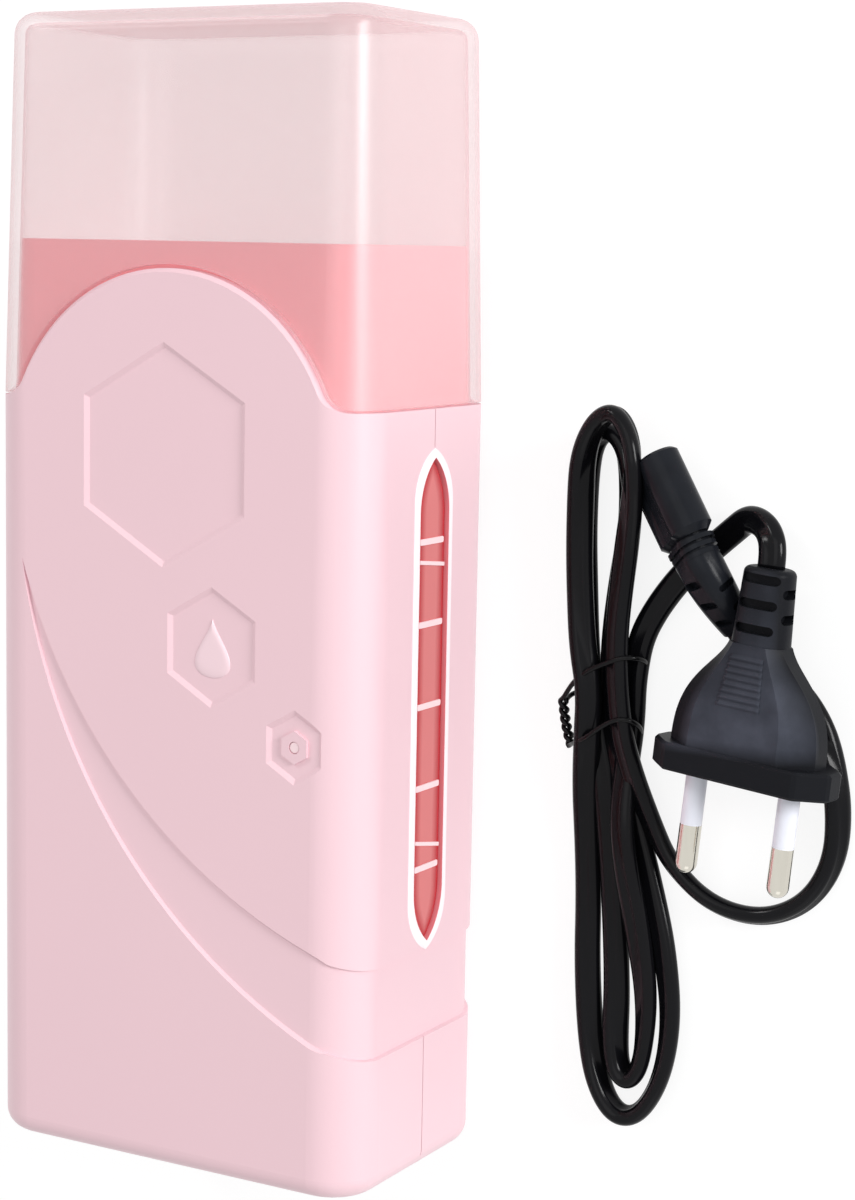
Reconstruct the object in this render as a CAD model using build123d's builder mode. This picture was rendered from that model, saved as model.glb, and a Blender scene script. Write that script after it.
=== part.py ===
from build123d import *
import os
from math import atan, cos, degrees, radians, sin, tan

# Heater for roll-on wax cartridges, with its unplugged mains lead. All sizes are in millimetres.
#
# The heater lies on its back. X runs across it, Y from its foot to the top of its lid, and Z up
# out of its front face. The origin is the centre of the ground that the heater covers. Heights
# along the heater count from its foot, and depths across it from its middle to its back.

# ---- Casing ----
HEIGHT = 210.0  # foot to the top of the lid
WIDTH = 81.5
DEPTH = 49.2
CORNER = 9.5  # radius of the four long corners
FOOT_ROUND = 4.0
SHELL = 2.2  # wall of the two shells
SEAM = 140.7  # height of the lid's seam at the sides
PARTING = 0.6  # the shells part this far behind the middle
LIP = 1.4  # the front shell's register lip reaches this far into the back shell
LIP_WALL = 1.0
FIT = 0.1  # between pieces that sit in each other and don't move
PARTING_LINE = (0.24, 0.35)  # width and depth of the line where the shells meet

# ---- Arches of the shells, over which the lid is cut out, on the front and on the back ----
ARCH_TOP = 164.6
ARCH_RADIUS = 35.6
ARCH_FOOT = 5.5  # radius where the arch flares into the seam
ARCH_CLEAR = 0.7  # between the arch and the lid
EDGE = 0.7  # width of the bevels along the arches and the crescent

# ---- Lid and collar ----
DRAFT = 1.6  # degrees of taper on the lid and on the collar inside it
LID_CLEAR = 0.35  # between the lid's inside and the collar
LID_ROUND = 4.0
SEAM_GAP = 0.4  # between the lid's rim and the shells
LID_TRAVEL = 75.0
COLLAR_TOP = 169.3
COLLAR_SKIRT = 6.0  # the collar reaches this far below the seam, inside the shells
COLLAR_WALL = 1.6
COLLAR_RIM = 2.0  # thickness of the rim that joins the collar to the well

# ---- Well for a standard 100 ml roll-on cartridge, about 53 x 33 x 150 ----
WELL_WIDTH = 54.5
WELL_DEPTH = 34.5
WELL_CORNER = 13.5
WELL_WALL = 1.5
WELL_FLOOR = 50.0  # height of the well's floor
WELL_FORWARD = 2.3  # the well's axis is this far in front of the middle
MOUTH_CHAMFER = 1.0

# ---- Waist groove, a crescent that sweeps down the face and round the side ----
GROOVE = 0.7  # depth
GROOVE_TIP = (-31.6, 109.2)
GROOVE_END = 50.0  # past the side of the casing
GROOVE_LOW = (22.8, 107.6)  # its lower edge: height at the end, and radius
GROOVE_HIGH = (40.2, 102.8)  # its upper edge: the same
TIP_SHIFT = (-0.7, 2.8)  # the tip moves by this where the crescent is 1 mm wider all round

# ---- Sunk hexagons on the face: place, and size across the flats ----
HEX_DEPTH = 0.6
HEX_BEVEL = 0.9  # width of the sloping edge
LARGE_HEX = (-0.5, 131.6, 34.8)
MIDDLE_HEX = (10.1, 98.0, 18.8)
SMALL_HEX = (27.8, 81.9, 11.6)
NUT_FLATS = 5.2  # the raised nut shape round the lens, across its flats
LENS_RADIUS = 1.05

# ---- Windows on both sides ----
WINDOW_WIDTH = 10.3
WINDOW_LOW = 43.6
WINDOW_HIGH = 132.0
WINDOW_POINT = 9.8  # length of each pointed end
WINDOW_RECESS = 0.3  # the pane's face is this far inside the casing's side
BEAD = (1.8, 0.3)  # width and height of the bead round each window
BEAD_BEVEL = 0.5
PANE_STEP = (0.6, 0.8)  # width and depth of the groove round each pane
PANE_FLANGE = 2.0
PANE_FLANGE_WALL = 1.0
MARK_HIGH = 117.05
MARK_PITCH = 14.91
MARK_COUNT = 5
MARK = (8.4, 1.1)  # length and width of a level mark
MARK_OFFSET = -0.25  # the level marks start at the pane's front edge
MARK_RAISED = 0.25
LIMIT_MARK = (8.9, 0.7)
LIMIT_PLACES = ((113.0, -6.5), (61.6, -10.6))  # height and slope of the two limit marks

# ---- Screws that hold the shells together ----
SCREW_SPREAD = 33.5
SCREW_HEIGHTS = (18.0, 118.0)
SCREW_RADIUS = 1.45
SCREW_LENGTH = 16.0
SCREW_HEAD_RADIUS = 2.6
SCREW_HEAD = 2.0
SCREW_SEAT = 8.0  # the heads seat this far in from the back
BOSS_RADIUS = 3.1
BOSS_JOINT = 15.5  # the bosses of the two shells meet this far from the back
PILOT_RADIUS = 1.25

# ---- Mains inlet in the foot, for a two-pole connector ----
CONTACT_SPACING = 8.6
INLET_WIDTH = CONTACT_SPACING + 6.0
INLET_DEPTH = 8.6
INLET_RECESS = 12.5
INLET_BODY = (INLET_WIDTH + 4.0, 12.4)
INLET_FLANGE = (INLET_WIDTH + 8.4, 16.0)
INLET_LENGTH = 19.0
INLET_PIN_RADIUS = 1.2
INLET_PIN = 9.5
PIN_TAIL = 5.0

# ---- Heating ----
PLATE = (46.0, 72.0, 1.2)  # width, height and thickness of the plate behind the well
PLATE_LOW = 54.0
PLATE_LAP = 4.0  # the plate laps this far over the edge of the hole in the well's back
PTC = (22.0, 30.0, 3.0)
PTC_SPACING = 35.0
INSULATION = 0.3
CLIP = 0.5
CLIP_WIDTH = 12.0
FUSE_RADIUS = 1.6
FUSE_LENGTH = 11.0
FUSE_LOW = 54.5
FUSE_LEAD = 4.0
LEAD_RADIUS = 0.4
TAB = (3.0, 0.4)  # width and thickness of the heaters' terminals

# ---- Wires inside ----
WIRE_RADIUS = 0.9
WIRE_SIDE = 15.6
WIRE_TOP = 110.0
SIGNAL_RADIUS = 0.6

# ---- Indicator light ----
LED_RADIUS = 1.5
LED_LENGTH = 4.6
LENS_FLANGE = 1.9
LED_GAP = 1.4  # from the shell's inside to the light's dome
BOARD = (9.6, 15.0, 1.1)
BOARD_X = 30.6
POST_RADIUS = 1.0
POST_SPREAD = 5.0

# ---- Mains lead: flat twin cord ----
CORD_WIDTH = 5.0
CORD_THICK = 3.2
CORD_LIES = CORD_THICK / 2 + 0.12  # height of the centreline where the cord lies flat

# ---- Two-pin plug, lying on the cord with its right side up ----
PLUG_FACE = (95.9, -27.6, 9.25)  # centre of the face that carries the pins
PLUG_TURN = 5.0  # degrees that the pins lean to the left
PLUG_RISE = 1.5  # degrees that the pins point up
PLUG_ROLL = 6.5
PLUG_WIDTH = 35.3
PLUG_THICK = 13.7
PLUG_FLAT = 26.1  # width of the flange's flat top and bottom
PLUG_END = 4.5  # height of its narrow ends
PLUG_FLANGE = 5.0
BOOT_START = 26.5  # pin face to the boot's first slot
BOOT_END = 38.0  # pin face to the end of the boot
BOOT = (10.6, 8.6)  # width and thickness of the boot at the neck
BOOT_TAPER = (1.4, 1.0)  # how much less they are at its end
BOOT_SLOT = 1.7  # length of each slot, along the boot
BOOT_PITCH = 2.2
BOOT_SLOTS = (7.4, 4.6)  # width of the slots in its top and bottom, and in its two sides
BOOT_CORE = (5.4, 4.2)
PIN_SPACING = 18.6
PIN_RADIUS = 2.0
PIN_LENGTH = 19.0
PIN_CORE = 1.4
PIN_ROOT = 8.0
SLEEVE_LENGTH = 10.0
SLEEVE_RADIUS = 1.95

# ---- Connector: its front end lies on one side, and its boot bends down over the cord ----
CONNECTOR_FRONT = (74.9, 27.0, 6.15)  # centre of its front end
CONNECTOR_TURN = 32.5  # degrees that it leans to the left
CONNECTOR_RISE = -6.5
CONNECTOR_ROLL = 40.0
CONNECTOR_WIDTH = CONTACT_SPACING + 5.0
CONNECTOR_THICK = 7.8
CONNECTOR_BODY = 16.0  # length of the rounded body
RINGS = 3
RING_PITCH = 1.35
CORD_END = (91.4, -1.6, 3.4)  # where the cord leaves the connector's boot
BOOT_BEND = 4.5  # the boot runs straight for about this far before it bends
BOOT_ROOT = (9.4, 7.0)
BOOT_TIP = (6.0, 4.2)
BOOT_TIP_ROLL = 8.0
CONNECTOR_SLOT = (4.6, 1.5, 1.3)  # width, length along the boot and depth of its slots
SOCKET_RADIUS = 1.6
SOCKET_DEPTH = 10.0
SOCKET_WALL = 0.35
SOCKET_SET_BACK = 0.8

# ---- Route of the cord outside the hank ----
ROUTE_OUT = [
    CORD_END,
    (93.4, -5.9, CORD_LIES),
    (98.6, -9.6, CORD_LIES),
    (104.2, -13.6, CORD_LIES),
    (108.8, -21.2, CORD_LIES),
    (111.3, -31.4, CORD_LIES),
    (111.0, -41.6, CORD_LIES),
    (106.2, -49.8, CORD_LIES),
    (97.6, -53.9, CORD_LIES),
    (87.6, -52.6, CORD_LIES),
    (79.6, -46.4, CORD_LIES),
    (74.6, -38.6, 2.6),
]
ROUTE_IN = [
    (71.6, -6.5, CORD_LIES),
    (75.0, 0.6, CORD_LIES),
    (79.9, 7.0, CORD_LIES),
    (84.9, 11.6, CORD_LIES),
    (89.2, 15.4, CORD_LIES),
    (92.1, 17.7, 2.6),
    (95.1, 17.8, 4.6),
    (97.9, 16.4, 6.6),
]
EXIT_RUN = 3.2  # the cord's straight run out of the plug's boot

# ---- Hank and its tie ----
ONE_LAYER = 3.4
TWO_LAYERS = 6.6
POCKET = 0.3  # clearance round the connector
TIE_RADIUS = 0.6
TIE_TURNS = (-11.0, -22.5)  # Y of its two turns
BUNDLE = (59.4, 73.2)  # X of the hank's sides at the tie
TIE_TAIL = [(58.8, -10.5, 3.4), (58.0, -16.4, 3.2), (57.4, -21.6, 2.2), (58.4, -26.6, 0.9)]
HANK_OUTLINES = (  # circles, as X, Y and radius, whose hulls outline its lower layer
    [(62.0, -8.0, 2.6), (59.4, 12.0, 2.6), (60.4, 24.0, 2.6), (66.0, 31.4, 2.9),
     (70.8, 27.0, 2.6), (70.8, 12.0, 2.6), (70.4, -8.0, 2.8)],
    [(62.0, -8.0, 2.6), (70.6, -8.0, 2.6), (62.2, -24.0, 2.6), (70.6, -24.0, 2.6)],
    [(62.2, -24.0, 2.6), (63.0, -57.0, 2.6), (76.6, -57.0, 2.6), (70.6, -24.0, 2.6)],
    [(63.0, -57.0, 2.6), (65.0, -79.0, 2.6), (71.8, -90.6, 3.0), (79.6, -82.0, 2.6),
     (79.6, -70.0, 2.6), (76.6, -57.0, 2.6)],
    [(74.4, -38.0, 2.7), (70.6, -26.0, 2.6)],
    [(71.4, -5.8, 2.7), (70.6, -9.0, 2.6)],
)
HANK_UPPER = (
    [(62.0, -8.0, 2.6), (60.6, 12.0, 2.6), (61.4, 24.0, 2.6), (66.0, 31.6, 2.9),
     (70.8, 27.0, 2.6), (70.4, 10.0, 2.6), (69.8, -8.0, 2.6)],
    [(62.0, -8.0, 2.6), (70.6, -8.0, 2.6), (62.2, -24.0, 2.6), (70.6, -24.0, 2.6)],
    [(62.2, -24.0, 2.6), (65.4, -46.0, 2.4), (71.6, -46.0, 2.4), (70.6, -24.0, 2.6)],
)
HANK_HOLES = (
    [(64.6, 2.0, 0.8), (64.0, 10.0, 1.8), (65.0, 24.0, 2.0), (65.9, 14.0, 1.8)],
    [(70.4, -62.0, 0.8), (71.6, -78.0, 1.8), (73.4, -80.0, 1.6), (72.6, -66.0, 1.2)],
)


def across(height):
    """Plane of a cross-section at a height: local x is X, local y points to the back."""
    return Plane(origin=(0, height - HEIGHT / 2, DEPTH / 2), x_dir=(1, 0, 0), z_dir=(0, 1, 0))


def level(up):
    """Plane parallel to the front face, up from the back: local x is X, local y is height."""
    return Plane(origin=(0, -HEIGHT / 2, up), x_dir=(1, 0, 0), z_dir=(0, 0, 1))


def side(distance):
    """Plane parallel to the right side, out from the middle: local x points to the back."""
    origin = (distance, -HEIGHT / 2, DEPTH / 2)
    return Plane(origin=origin, x_dir=(0, 0, -1), z_dir=(1, 0, 0))


def wall_line(inset):
    """Cross-section of the casing, set in by a wall."""
    return RectangleRounded(WIDTH - 2 * inset, DEPTH - 2 * inset, CORNER - inset)


def arch(grow, gap, up):
    """The arch and all that is below the seam, grown by a clearance, at a height above the back."""
    with BuildSketch(level(up)) as outline:
        with Locations((0, ARCH_TOP - ARCH_RADIUS)):
            Circle(ARCH_RADIUS + grow)
        with Locations((0, SEAM + gap)):
            Rectangle(WIDTH + 20, SEAM + 20, align=(Align.CENTER, Align.MAX))
        rim = outline.vertices().filter_by_position(Axis.Y, SEAM + gap - 0.01, SEAM + gap + 0.01)
        fillet([v for v in rim if abs(v.X) < WIDTH / 2], ARCH_FOOT - grow)
    return outline.sketch


def crescent(grow, up):
    """The waist groove's outline, grown by a margin, at a height above the back."""
    tip = GROOVE_TIP[0] + grow * TIP_SHIFT[0], GROOVE_TIP[1] + grow * TIP_SHIFT[1]
    with BuildSketch(level(up)) as outline:
        with BuildLine():
            low = RadiusArc(tip, (GROOVE_END, GROOVE_LOW[0] - 1.05 * grow), -GROOVE_LOW[1] - grow)
            high = RadiusArc(tip, (GROOVE_END, GROOVE_HIGH[0] + 1.05 * grow), grow - GROOVE_HIGH[1])
            Line(low @ 1, high @ 1)
        make_face()
    return outline.sketch


def lancet(grow):
    """A window with pointed ends, grown by a margin, on a side plane of its own."""
    half = WINDOW_WIDTH / 2 + grow
    low, high = WINDOW_LOW - grow, WINDOW_HIGH + grow
    with BuildSketch() as outline:
        with BuildLine():
            right = Line((half, low + WINDOW_POINT), (half, high - WINDOW_POINT))
            TangentArc(right @ 1, (0, high), tangent=(0, 1))
            TangentArc(right @ 0, (0, low), tangent=(0, -1))
            left = Line((-half, low + WINDOW_POINT), (-half, high - WINDOW_POINT))
            TangentArc(left @ 1, (0, high), tangent=(0, 1))
            TangentArc(left @ 0, (0, low), tangent=(0, -1))
        make_face()
    return outline.sketch


def slab(inset, low, high):
    """The casing's outer shape, set in by a wall, between two heights above the ground."""
    with BuildPart() as block:
        with BuildSketch(across(inset)):
            wall_line(inset)
        extrude(amount=HEIGHT)
        with BuildSketch(level(low)):
            with Locations((0, HEIGHT / 2)):
                Rectangle(2 * WIDTH, 2 * HEIGHT)
        extrude(amount=high - low, mode=Mode.INTERSECT)
    return block.part


def tube(route, radius):
    """A round wire along a route of straight runs joined by arcs."""
    points = [Vector(*p) for p in route]
    with BuildPart() as wire:
        with BuildLine() as path:
            FilletPolyline(*points, radius=corner_radii(route))
        with BuildSketch(Plane(origin=points[0], z_dir=points[1] - points[0])):
            Circle(radius)
        sweep(path=path.line)
    return wire.part


def corner_radii(route):
    """Radius of the arc at each corner of a route, as large as its two runs allow."""
    points = [Vector(*p) for p in route]
    radii = []
    for before, corner, after in zip(points, points[1:], points[2:]):
        shorter = min((corner - before).length, (after - corner).length)
        turn = radians((corner - before).get_angle(after - corner))
        radii.append(0.45 * shorter / tan(turn / 2))
    return radii


def finish(name, part):
    """Labels a piece and writes it."""
    part.label = name
    export_step(part, f"parts/{name}.step")


os.makedirs("parts", exist_ok=True)

COLLAR_INSET = SHELL + FIT  # the collar fills the shells, and the arches lie on it
LID_WALL = COLLAR_INSET - LID_CLEAR
PART_UP = DEPTH / 2 - PARTING  # height of the parting plane above the ground
WELL_UP = DEPTH / 2 + WELL_FORWARD
WELL_BACK = WELL_UP - WELL_DEPTH / 2 - WELL_WALL  # height of the outside of the well's back

# ---- Casing: one closed shape, which the parting plane then divides into two shells ----

with BuildPart() as arch_block:
    add(arch(0, 0, EDGE))
    extrude(amount=DEPTH - 2 * EDGE)
    add(arch(0, 0, DEPTH - EDGE))
    extrude(amount=EDGE, taper=45)
    add(arch(0, 0, EDGE))
    extrude(amount=-EDGE, taper=45)

with BuildPart() as lid_cut:
    add(arch(ARCH_CLEAR, SEAM_GAP, -1))
    extrude(amount=DEPTH + 2)

with BuildPart() as cavity:
    with BuildSketch(across(SHELL)):
        wall_line(SHELL)
    extrude(amount=SEAM - SHELL)
    fillet(cavity.edges().group_by(Axis.Y)[0], FOOT_ROUND - SHELL)
    with BuildSketch(across(SEAM)):
        wall_line(SHELL)
    extrude(amount=ARCH_TOP + 5 - SEAM, taper=DRAFT)

with BuildPart() as groove_bevel:
    add(crescent(EDGE, DEPTH))
    add(crescent(0, DEPTH - EDGE))
    loft(ruled=True)
    mirror(about=Plane.XY.offset(DEPTH / 2))

with BuildPart() as groove:
    add(crescent(0, -1))
    extrude(amount=DEPTH + 2)
    add(groove_bevel.part)
    with BuildSketch(across(0)):
        wall_line(GROOVE)
    extrude(amount=SEAM, mode=Mode.SUBTRACT)

with BuildPart() as window_bead:
    with BuildSketch(side(WIDTH / 2 - GROOVE)):
        with Locations((PARTING, 0)):
            add(lancet(BEAD[0]))
    extrude(amount=GROOVE)
    with BuildSketch(side(WIDTH / 2)):
        with Locations((PARTING, 0)):
            add(lancet(BEAD[0]))
    extrude(amount=BEAD[1], taper=degrees(atan(BEAD_BEVEL / BEAD[1])))
    mirror(about=Plane.YZ)

with BuildPart() as window_cut:
    with BuildSketch(side(WIDTH / 2 + 1)):
        with Locations((PARTING, 0)):
            add(lancet(0))
    extrude(amount=-SHELL - 2)
    mirror(about=Plane.YZ)

with BuildPart() as parting_line:
    line_low, line_high = PART_UP - PARTING_LINE[0] / 2, PART_UP + PARTING_LINE[0] / 2
    add(slab(-1, line_low, line_high))
    add(slab(PARTING_LINE[1], line_low, line_high), mode=Mode.SUBTRACT)

with BuildPart() as casing:
    with BuildSketch(across(0)):
        wall_line(0)
    extrude(amount=ARCH_TOP + 1)
    fillet(casing.edges().group_by(Axis.Y)[0], FOOT_ROUND)
    add(arch_block.part, mode=Mode.INTERSECT)
    add(cavity.part, mode=Mode.SUBTRACT)
    add(groove.part, mode=Mode.SUBTRACT)
    add(parting_line.part, mode=Mode.SUBTRACT)
    add(window_bead.part)
    add(window_cut.part, mode=Mode.SUBTRACT)
    with BuildSketch(across(-1)):
        with Locations((0, PARTING)):
            RectangleRounded(INLET_BODY[0] + 2 * FIT, INLET_BODY[1] + 2 * FIT, 3.0)
    extrude(amount=SHELL + 2, mode=Mode.SUBTRACT)

# ---- Front and back shells ----

with BuildPart() as front_zone:
    add(slab(-1, PART_UP, DEPTH + 1))
    add(slab(SHELL - LIP_WALL, PART_UP - LIP, PART_UP))

with BuildPart() as back_zone:
    add(slab(-1, -1, PART_UP))
    add(slab(SHELL - LIP_WALL - FIT, PART_UP - LIP - FIT, PART_UP), mode=Mode.SUBTRACT)

SCREW_PLACES = [(x, height) for x in (-SCREW_SPREAD, SCREW_SPREAD) for height in SCREW_HEIGHTS]
LED_UP = DEPTH - SHELL - LED_GAP - LED_LENGTH
POST_PLACES = [(BOARD_X + 2.8, SMALL_HEX[1] + y) for y in (-POST_SPREAD, POST_SPREAD)]


def bosses(radius, low, high):
    """Bosses for the screws, between two heights and no further out than inside the walls."""
    with BuildPart() as block:
        with BuildSketch(level(low)):
            with Locations(*SCREW_PLACES):
                Circle(radius)
        extrude(amount=high - low)
        add(slab(SHELL / 2, low, high), mode=Mode.INTERSECT)
    return block.part


with BuildPart() as front_shell:
    add(casing.part)
    add(front_zone.part, mode=Mode.INTERSECT)
    add(bosses(BOSS_RADIUS, BOSS_JOINT, DEPTH - SHELL / 2))
    with BuildSketch(level(BOSS_JOINT)):
        with Locations(*SCREW_PLACES):
            Circle(PILOT_RADIUS)
    extrude(amount=SCREW_LENGTH, mode=Mode.SUBTRACT)
    # posts that carry the board of the indicator light
    with BuildSketch(level(LED_UP - BOARD[2] - 0.4)):
        with Locations(*POST_PLACES):
            Circle(POST_RADIUS)
    extrude(amount=DEPTH - SHELL / 2 - LED_UP + BOARD[2] + 0.4)
    # sunk hexagons
    for x, height, flats in (LARGE_HEX, MIDDLE_HEX, SMALL_HEX):
        with BuildSketch(level(DEPTH)):
            with Locations((x, height)):
                RegularPolygon(flats / 2, 6, major_radius=False, rotation=30)
        slope = degrees(atan(HEX_BEVEL / HEX_DEPTH))
        extrude(amount=-HEX_DEPTH, taper=slope, mode=Mode.SUBTRACT)
    # nut shape and hole of the indicator lens
    with BuildSketch(level(DEPTH - HEX_DEPTH - 0.1)):
        with Locations(SMALL_HEX[:2]):
            RegularPolygon(NUT_FLATS / 2, 6, major_radius=False, rotation=30)
    extrude(amount=HEX_DEPTH + 0.1)
    with BuildSketch(level(DEPTH)):
        with Locations(SMALL_HEX[:2]):
            Circle(LENS_RADIUS + FIT / 2)
    extrude(amount=-SHELL - 1, mode=Mode.SUBTRACT)
finish("front_shell", front_shell.part)

with BuildPart() as back_shell:
    add(casing.part)
    add(back_zone.part, mode=Mode.INTERSECT)
    add(bosses(SCREW_HEAD_RADIUS + 1.5, SHELL / 2, SCREW_SEAT + 1.5))
    add(bosses(BOSS_RADIUS, SCREW_SEAT, BOSS_JOINT - FIT))
    with Locations(Plane(origin=(0, -HEIGHT / 2, 0), x_dir=(1, 0, 0), z_dir=(0, 0, -1))):
        with Locations(*[(x, -height) for x, height in SCREW_PLACES]):
            CounterBoreHole(SCREW_RADIUS + 0.15, SCREW_HEAD_RADIUS + 0.2, SCREW_SEAT, BOSS_JOINT)
finish("back_shell", back_shell.part)

with BuildPart() as shell_screws:
    with BuildSketch(level(SCREW_SEAT - SCREW_HEAD)):
        with Locations(*SCREW_PLACES):
            Circle(SCREW_HEAD_RADIUS)
    extrude(amount=SCREW_HEAD)
    fillet(shell_screws.edges().group_by(Axis.Z)[0], SCREW_HEAD / 3)
    with BuildSketch(level(SCREW_SEAT)):
        with Locations(*SCREW_PLACES):
            Circle(SCREW_RADIUS)
    extrude(amount=SCREW_LENGTH - 1)
finish("shell_screws", shell_screws.part)

# ---- Lid ----

with BuildPart() as lid_core:
    with BuildSketch(across(SEAM)):
        wall_line(LID_WALL)
    extrude(amount=HEIGHT - SEAM - LID_WALL, taper=DRAFT)
    fillet(lid_core.edges().group_by(Axis.Y)[-1], LID_ROUND - LID_WALL)

with BuildPart() as lid:
    with BuildSketch(across(SEAM)):
        wall_line(0)
    extrude(amount=HEIGHT - SEAM, taper=DRAFT)
    fillet(lid.edges().group_by(Axis.Y)[-1], LID_ROUND)
    add(lid_core.part, mode=Mode.SUBTRACT)
    add(lid_cut.part, mode=Mode.SUBTRACT)
finish("lid", lid.part)

# ---- Liner: collar and cartridge well in one moulding ----

def well_line(grow):
    """Cross-section of the well's inside, grown by a wall."""
    with Locations((0, -WELL_FORWARD)):
        RectangleRounded(WELL_WIDTH + 2 * grow, WELL_DEPTH + 2 * grow, WELL_CORNER + grow)


with BuildPart() as liner:
    with BuildSketch(across(SEAM - COLLAR_SKIRT)):
        wall_line(COLLAR_INSET)
    extrude(amount=COLLAR_SKIRT)
    with BuildSketch(across(SEAM)):
        wall_line(COLLAR_INSET)
    extrude(amount=COLLAR_TOP - SEAM, taper=DRAFT)
    with BuildSketch(across(SEAM - COLLAR_SKIRT)):
        wall_line(COLLAR_INSET + COLLAR_WALL)
    extrude(amount=COLLAR_SKIRT, mode=Mode.SUBTRACT)
    with BuildSketch(across(SEAM)):
        wall_line(COLLAR_INSET + COLLAR_WALL)
    extrude(amount=COLLAR_TOP - COLLAR_RIM - SEAM, taper=DRAFT, mode=Mode.SUBTRACT)
    with BuildSketch(across(WELL_FLOOR - WELL_WALL)):
        well_line(WELL_WALL)
    extrude(amount=COLLAR_TOP - COLLAR_RIM / 2 - WELL_FLOOR + WELL_WALL)
    with BuildSketch(across(WELL_FLOOR)):
        well_line(0)
    extrude(amount=HEIGHT, mode=Mode.SUBTRACT)
    rim = liner.faces().sort_by(Axis.Y)[-1]
    chamfer(rim.inner_wires()[0].edges(), MOUTH_CHAMFER)
    # hole in the well's back, which the heat spreader fills
    with BuildSketch(level(0)):
        with Locations((0, PLATE_LOW + PLATE[1] / 2)):
            Rectangle(PLATE[0] - 2 * PLATE_LAP, PLATE[1] - 2 * PLATE_LAP)
    extrude(amount=WELL_UP, mode=Mode.SUBTRACT)
finish("liner", liner.part)

# ---- Window panes and their level marks ----

with BuildPart() as window_right:
    with BuildSketch(side(WIDTH / 2 - WINDOW_RECESS)):
        with Locations((PARTING, 0)):
            add(lancet(-PANE_STEP[0]))
    extrude(amount=-PANE_STEP[1])
    with BuildSketch(side(WIDTH / 2 - WINDOW_RECESS - PANE_STEP[1])):
        with Locations((PARTING, 0)):
            add(lancet(-FIT))
    extrude(amount=WINDOW_RECESS + PANE_STEP[1] - SHELL)
    with BuildSketch(side(WIDTH / 2 - SHELL)):
        with Locations((PARTING, 0)):
            add(lancet(PANE_FLANGE))
    extrude(amount=-PANE_FLANGE_WALL)
finish("window_right", window_right.part)

with BuildPart() as marks_right:
    with BuildSketch(side(WIDTH / 2 - WINDOW_RECESS)):
        for mark in range(MARK_COUNT):
            with Locations((PARTING + MARK_OFFSET, MARK_HIGH - mark * MARK_PITCH)):
                RectangleRounded(*MARK, MARK[1] / 3)
        for height, slope in LIMIT_PLACES:
            with Locations((PARTING, height)):
                RectangleRounded(*LIMIT_MARK, LIMIT_MARK[1] / 3, rotation=slope)
    extrude(amount=MARK_RAISED)
finish("marks_right", marks_right.part)

with BuildPart() as window_left:
    mirror(window_right.part, about=Plane.YZ)
finish("window_left", window_left.part)

with BuildPart() as marks_left:
    mirror(marks_right.part, about=Plane.YZ)
finish("marks_left", marks_left.part)

# ---- Heat spreader, heaters, clips, fuse ----

def plate_zone(margin):
    """Block that bounds the heat spreader, or with a margin the part of it in the hole."""
    with Locations((0, PLATE_LOW + PLATE[1] / 2)):
        Rectangle(PLATE[0] - 2 * margin, PLATE[1] - 2 * margin)


with BuildPart() as spreader:
    with BuildSketch(across(PLATE_LOW)):
        well_line(WELL_WALL + PLATE[2])
        with Locations((0, -WELL_FORWARD)):
            RectangleRounded(
                WELL_WIDTH + 2 * WELL_WALL,
                WELL_DEPTH + 2 * WELL_WALL,
                WELL_CORNER + WELL_WALL,
                mode=Mode.SUBTRACT,
            )
    extrude(amount=PLATE[1])
    with BuildSketch(level(0)):
        plate_zone(0)
    extrude(amount=WELL_UP - 2, mode=Mode.INTERSECT)
with BuildPart() as spreader_pad:
    with BuildSketch(across(PLATE_LOW)):
        well_line(WELL_WALL)
        with Locations((0, -WELL_FORWARD)):
            RectangleRounded(WELL_WIDTH, WELL_DEPTH, WELL_CORNER, mode=Mode.SUBTRACT)
    extrude(amount=PLATE[1])
    with BuildSketch(level(0)):
        plate_zone(PLATE_LAP + FIT)
    extrude(amount=WELL_UP - 2, mode=Mode.INTERSECT)
with BuildPart() as heat_spreader:
    add(spreader.part)
    add(spreader_pad.part)
finish("heat_spreader", heat_spreader.part)

PTC_UP = WELL_BACK - PLATE[2]  # the heaters' top faces touch the spreader
PTC_MIDDLE = PLATE_LOW + PLATE[1] / 2
WIRE_UP = PTC_UP - PTC[2] / 2 - 0.3
for name, offset in (("heater_lower", -PTC_SPACING / 2), ("heater_upper", PTC_SPACING / 2)):
    with BuildPart() as heater:
        with BuildSketch(level(PTC_UP)):
            with Locations((0, PTC_MIDDLE + offset)):
                Rectangle(*PTC[:2])
        extrude(amount=-PTC[2])
        chamfer(heater.edges().filter_by(Axis.Y), 0.5)
        with BuildSketch(level(WIRE_UP - TAB[1] / 2)):
            with Locations((0, PTC_MIDDLE + offset)):
                Rectangle(2 * WIRE_SIDE, TAB[0])
        extrude(amount=TAB[1])
    finish(name, heater.part)

with BuildPart() as insulation:
    with BuildSketch(level(PTC_UP - PTC[2])):
        with Locations((0, PTC_MIDDLE)):
            Rectangle(PTC[0] + 3, PTC[1] + PTC_SPACING + 1)
    extrude(amount=-INSULATION)
finish("insulation", insulation.part)

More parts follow.
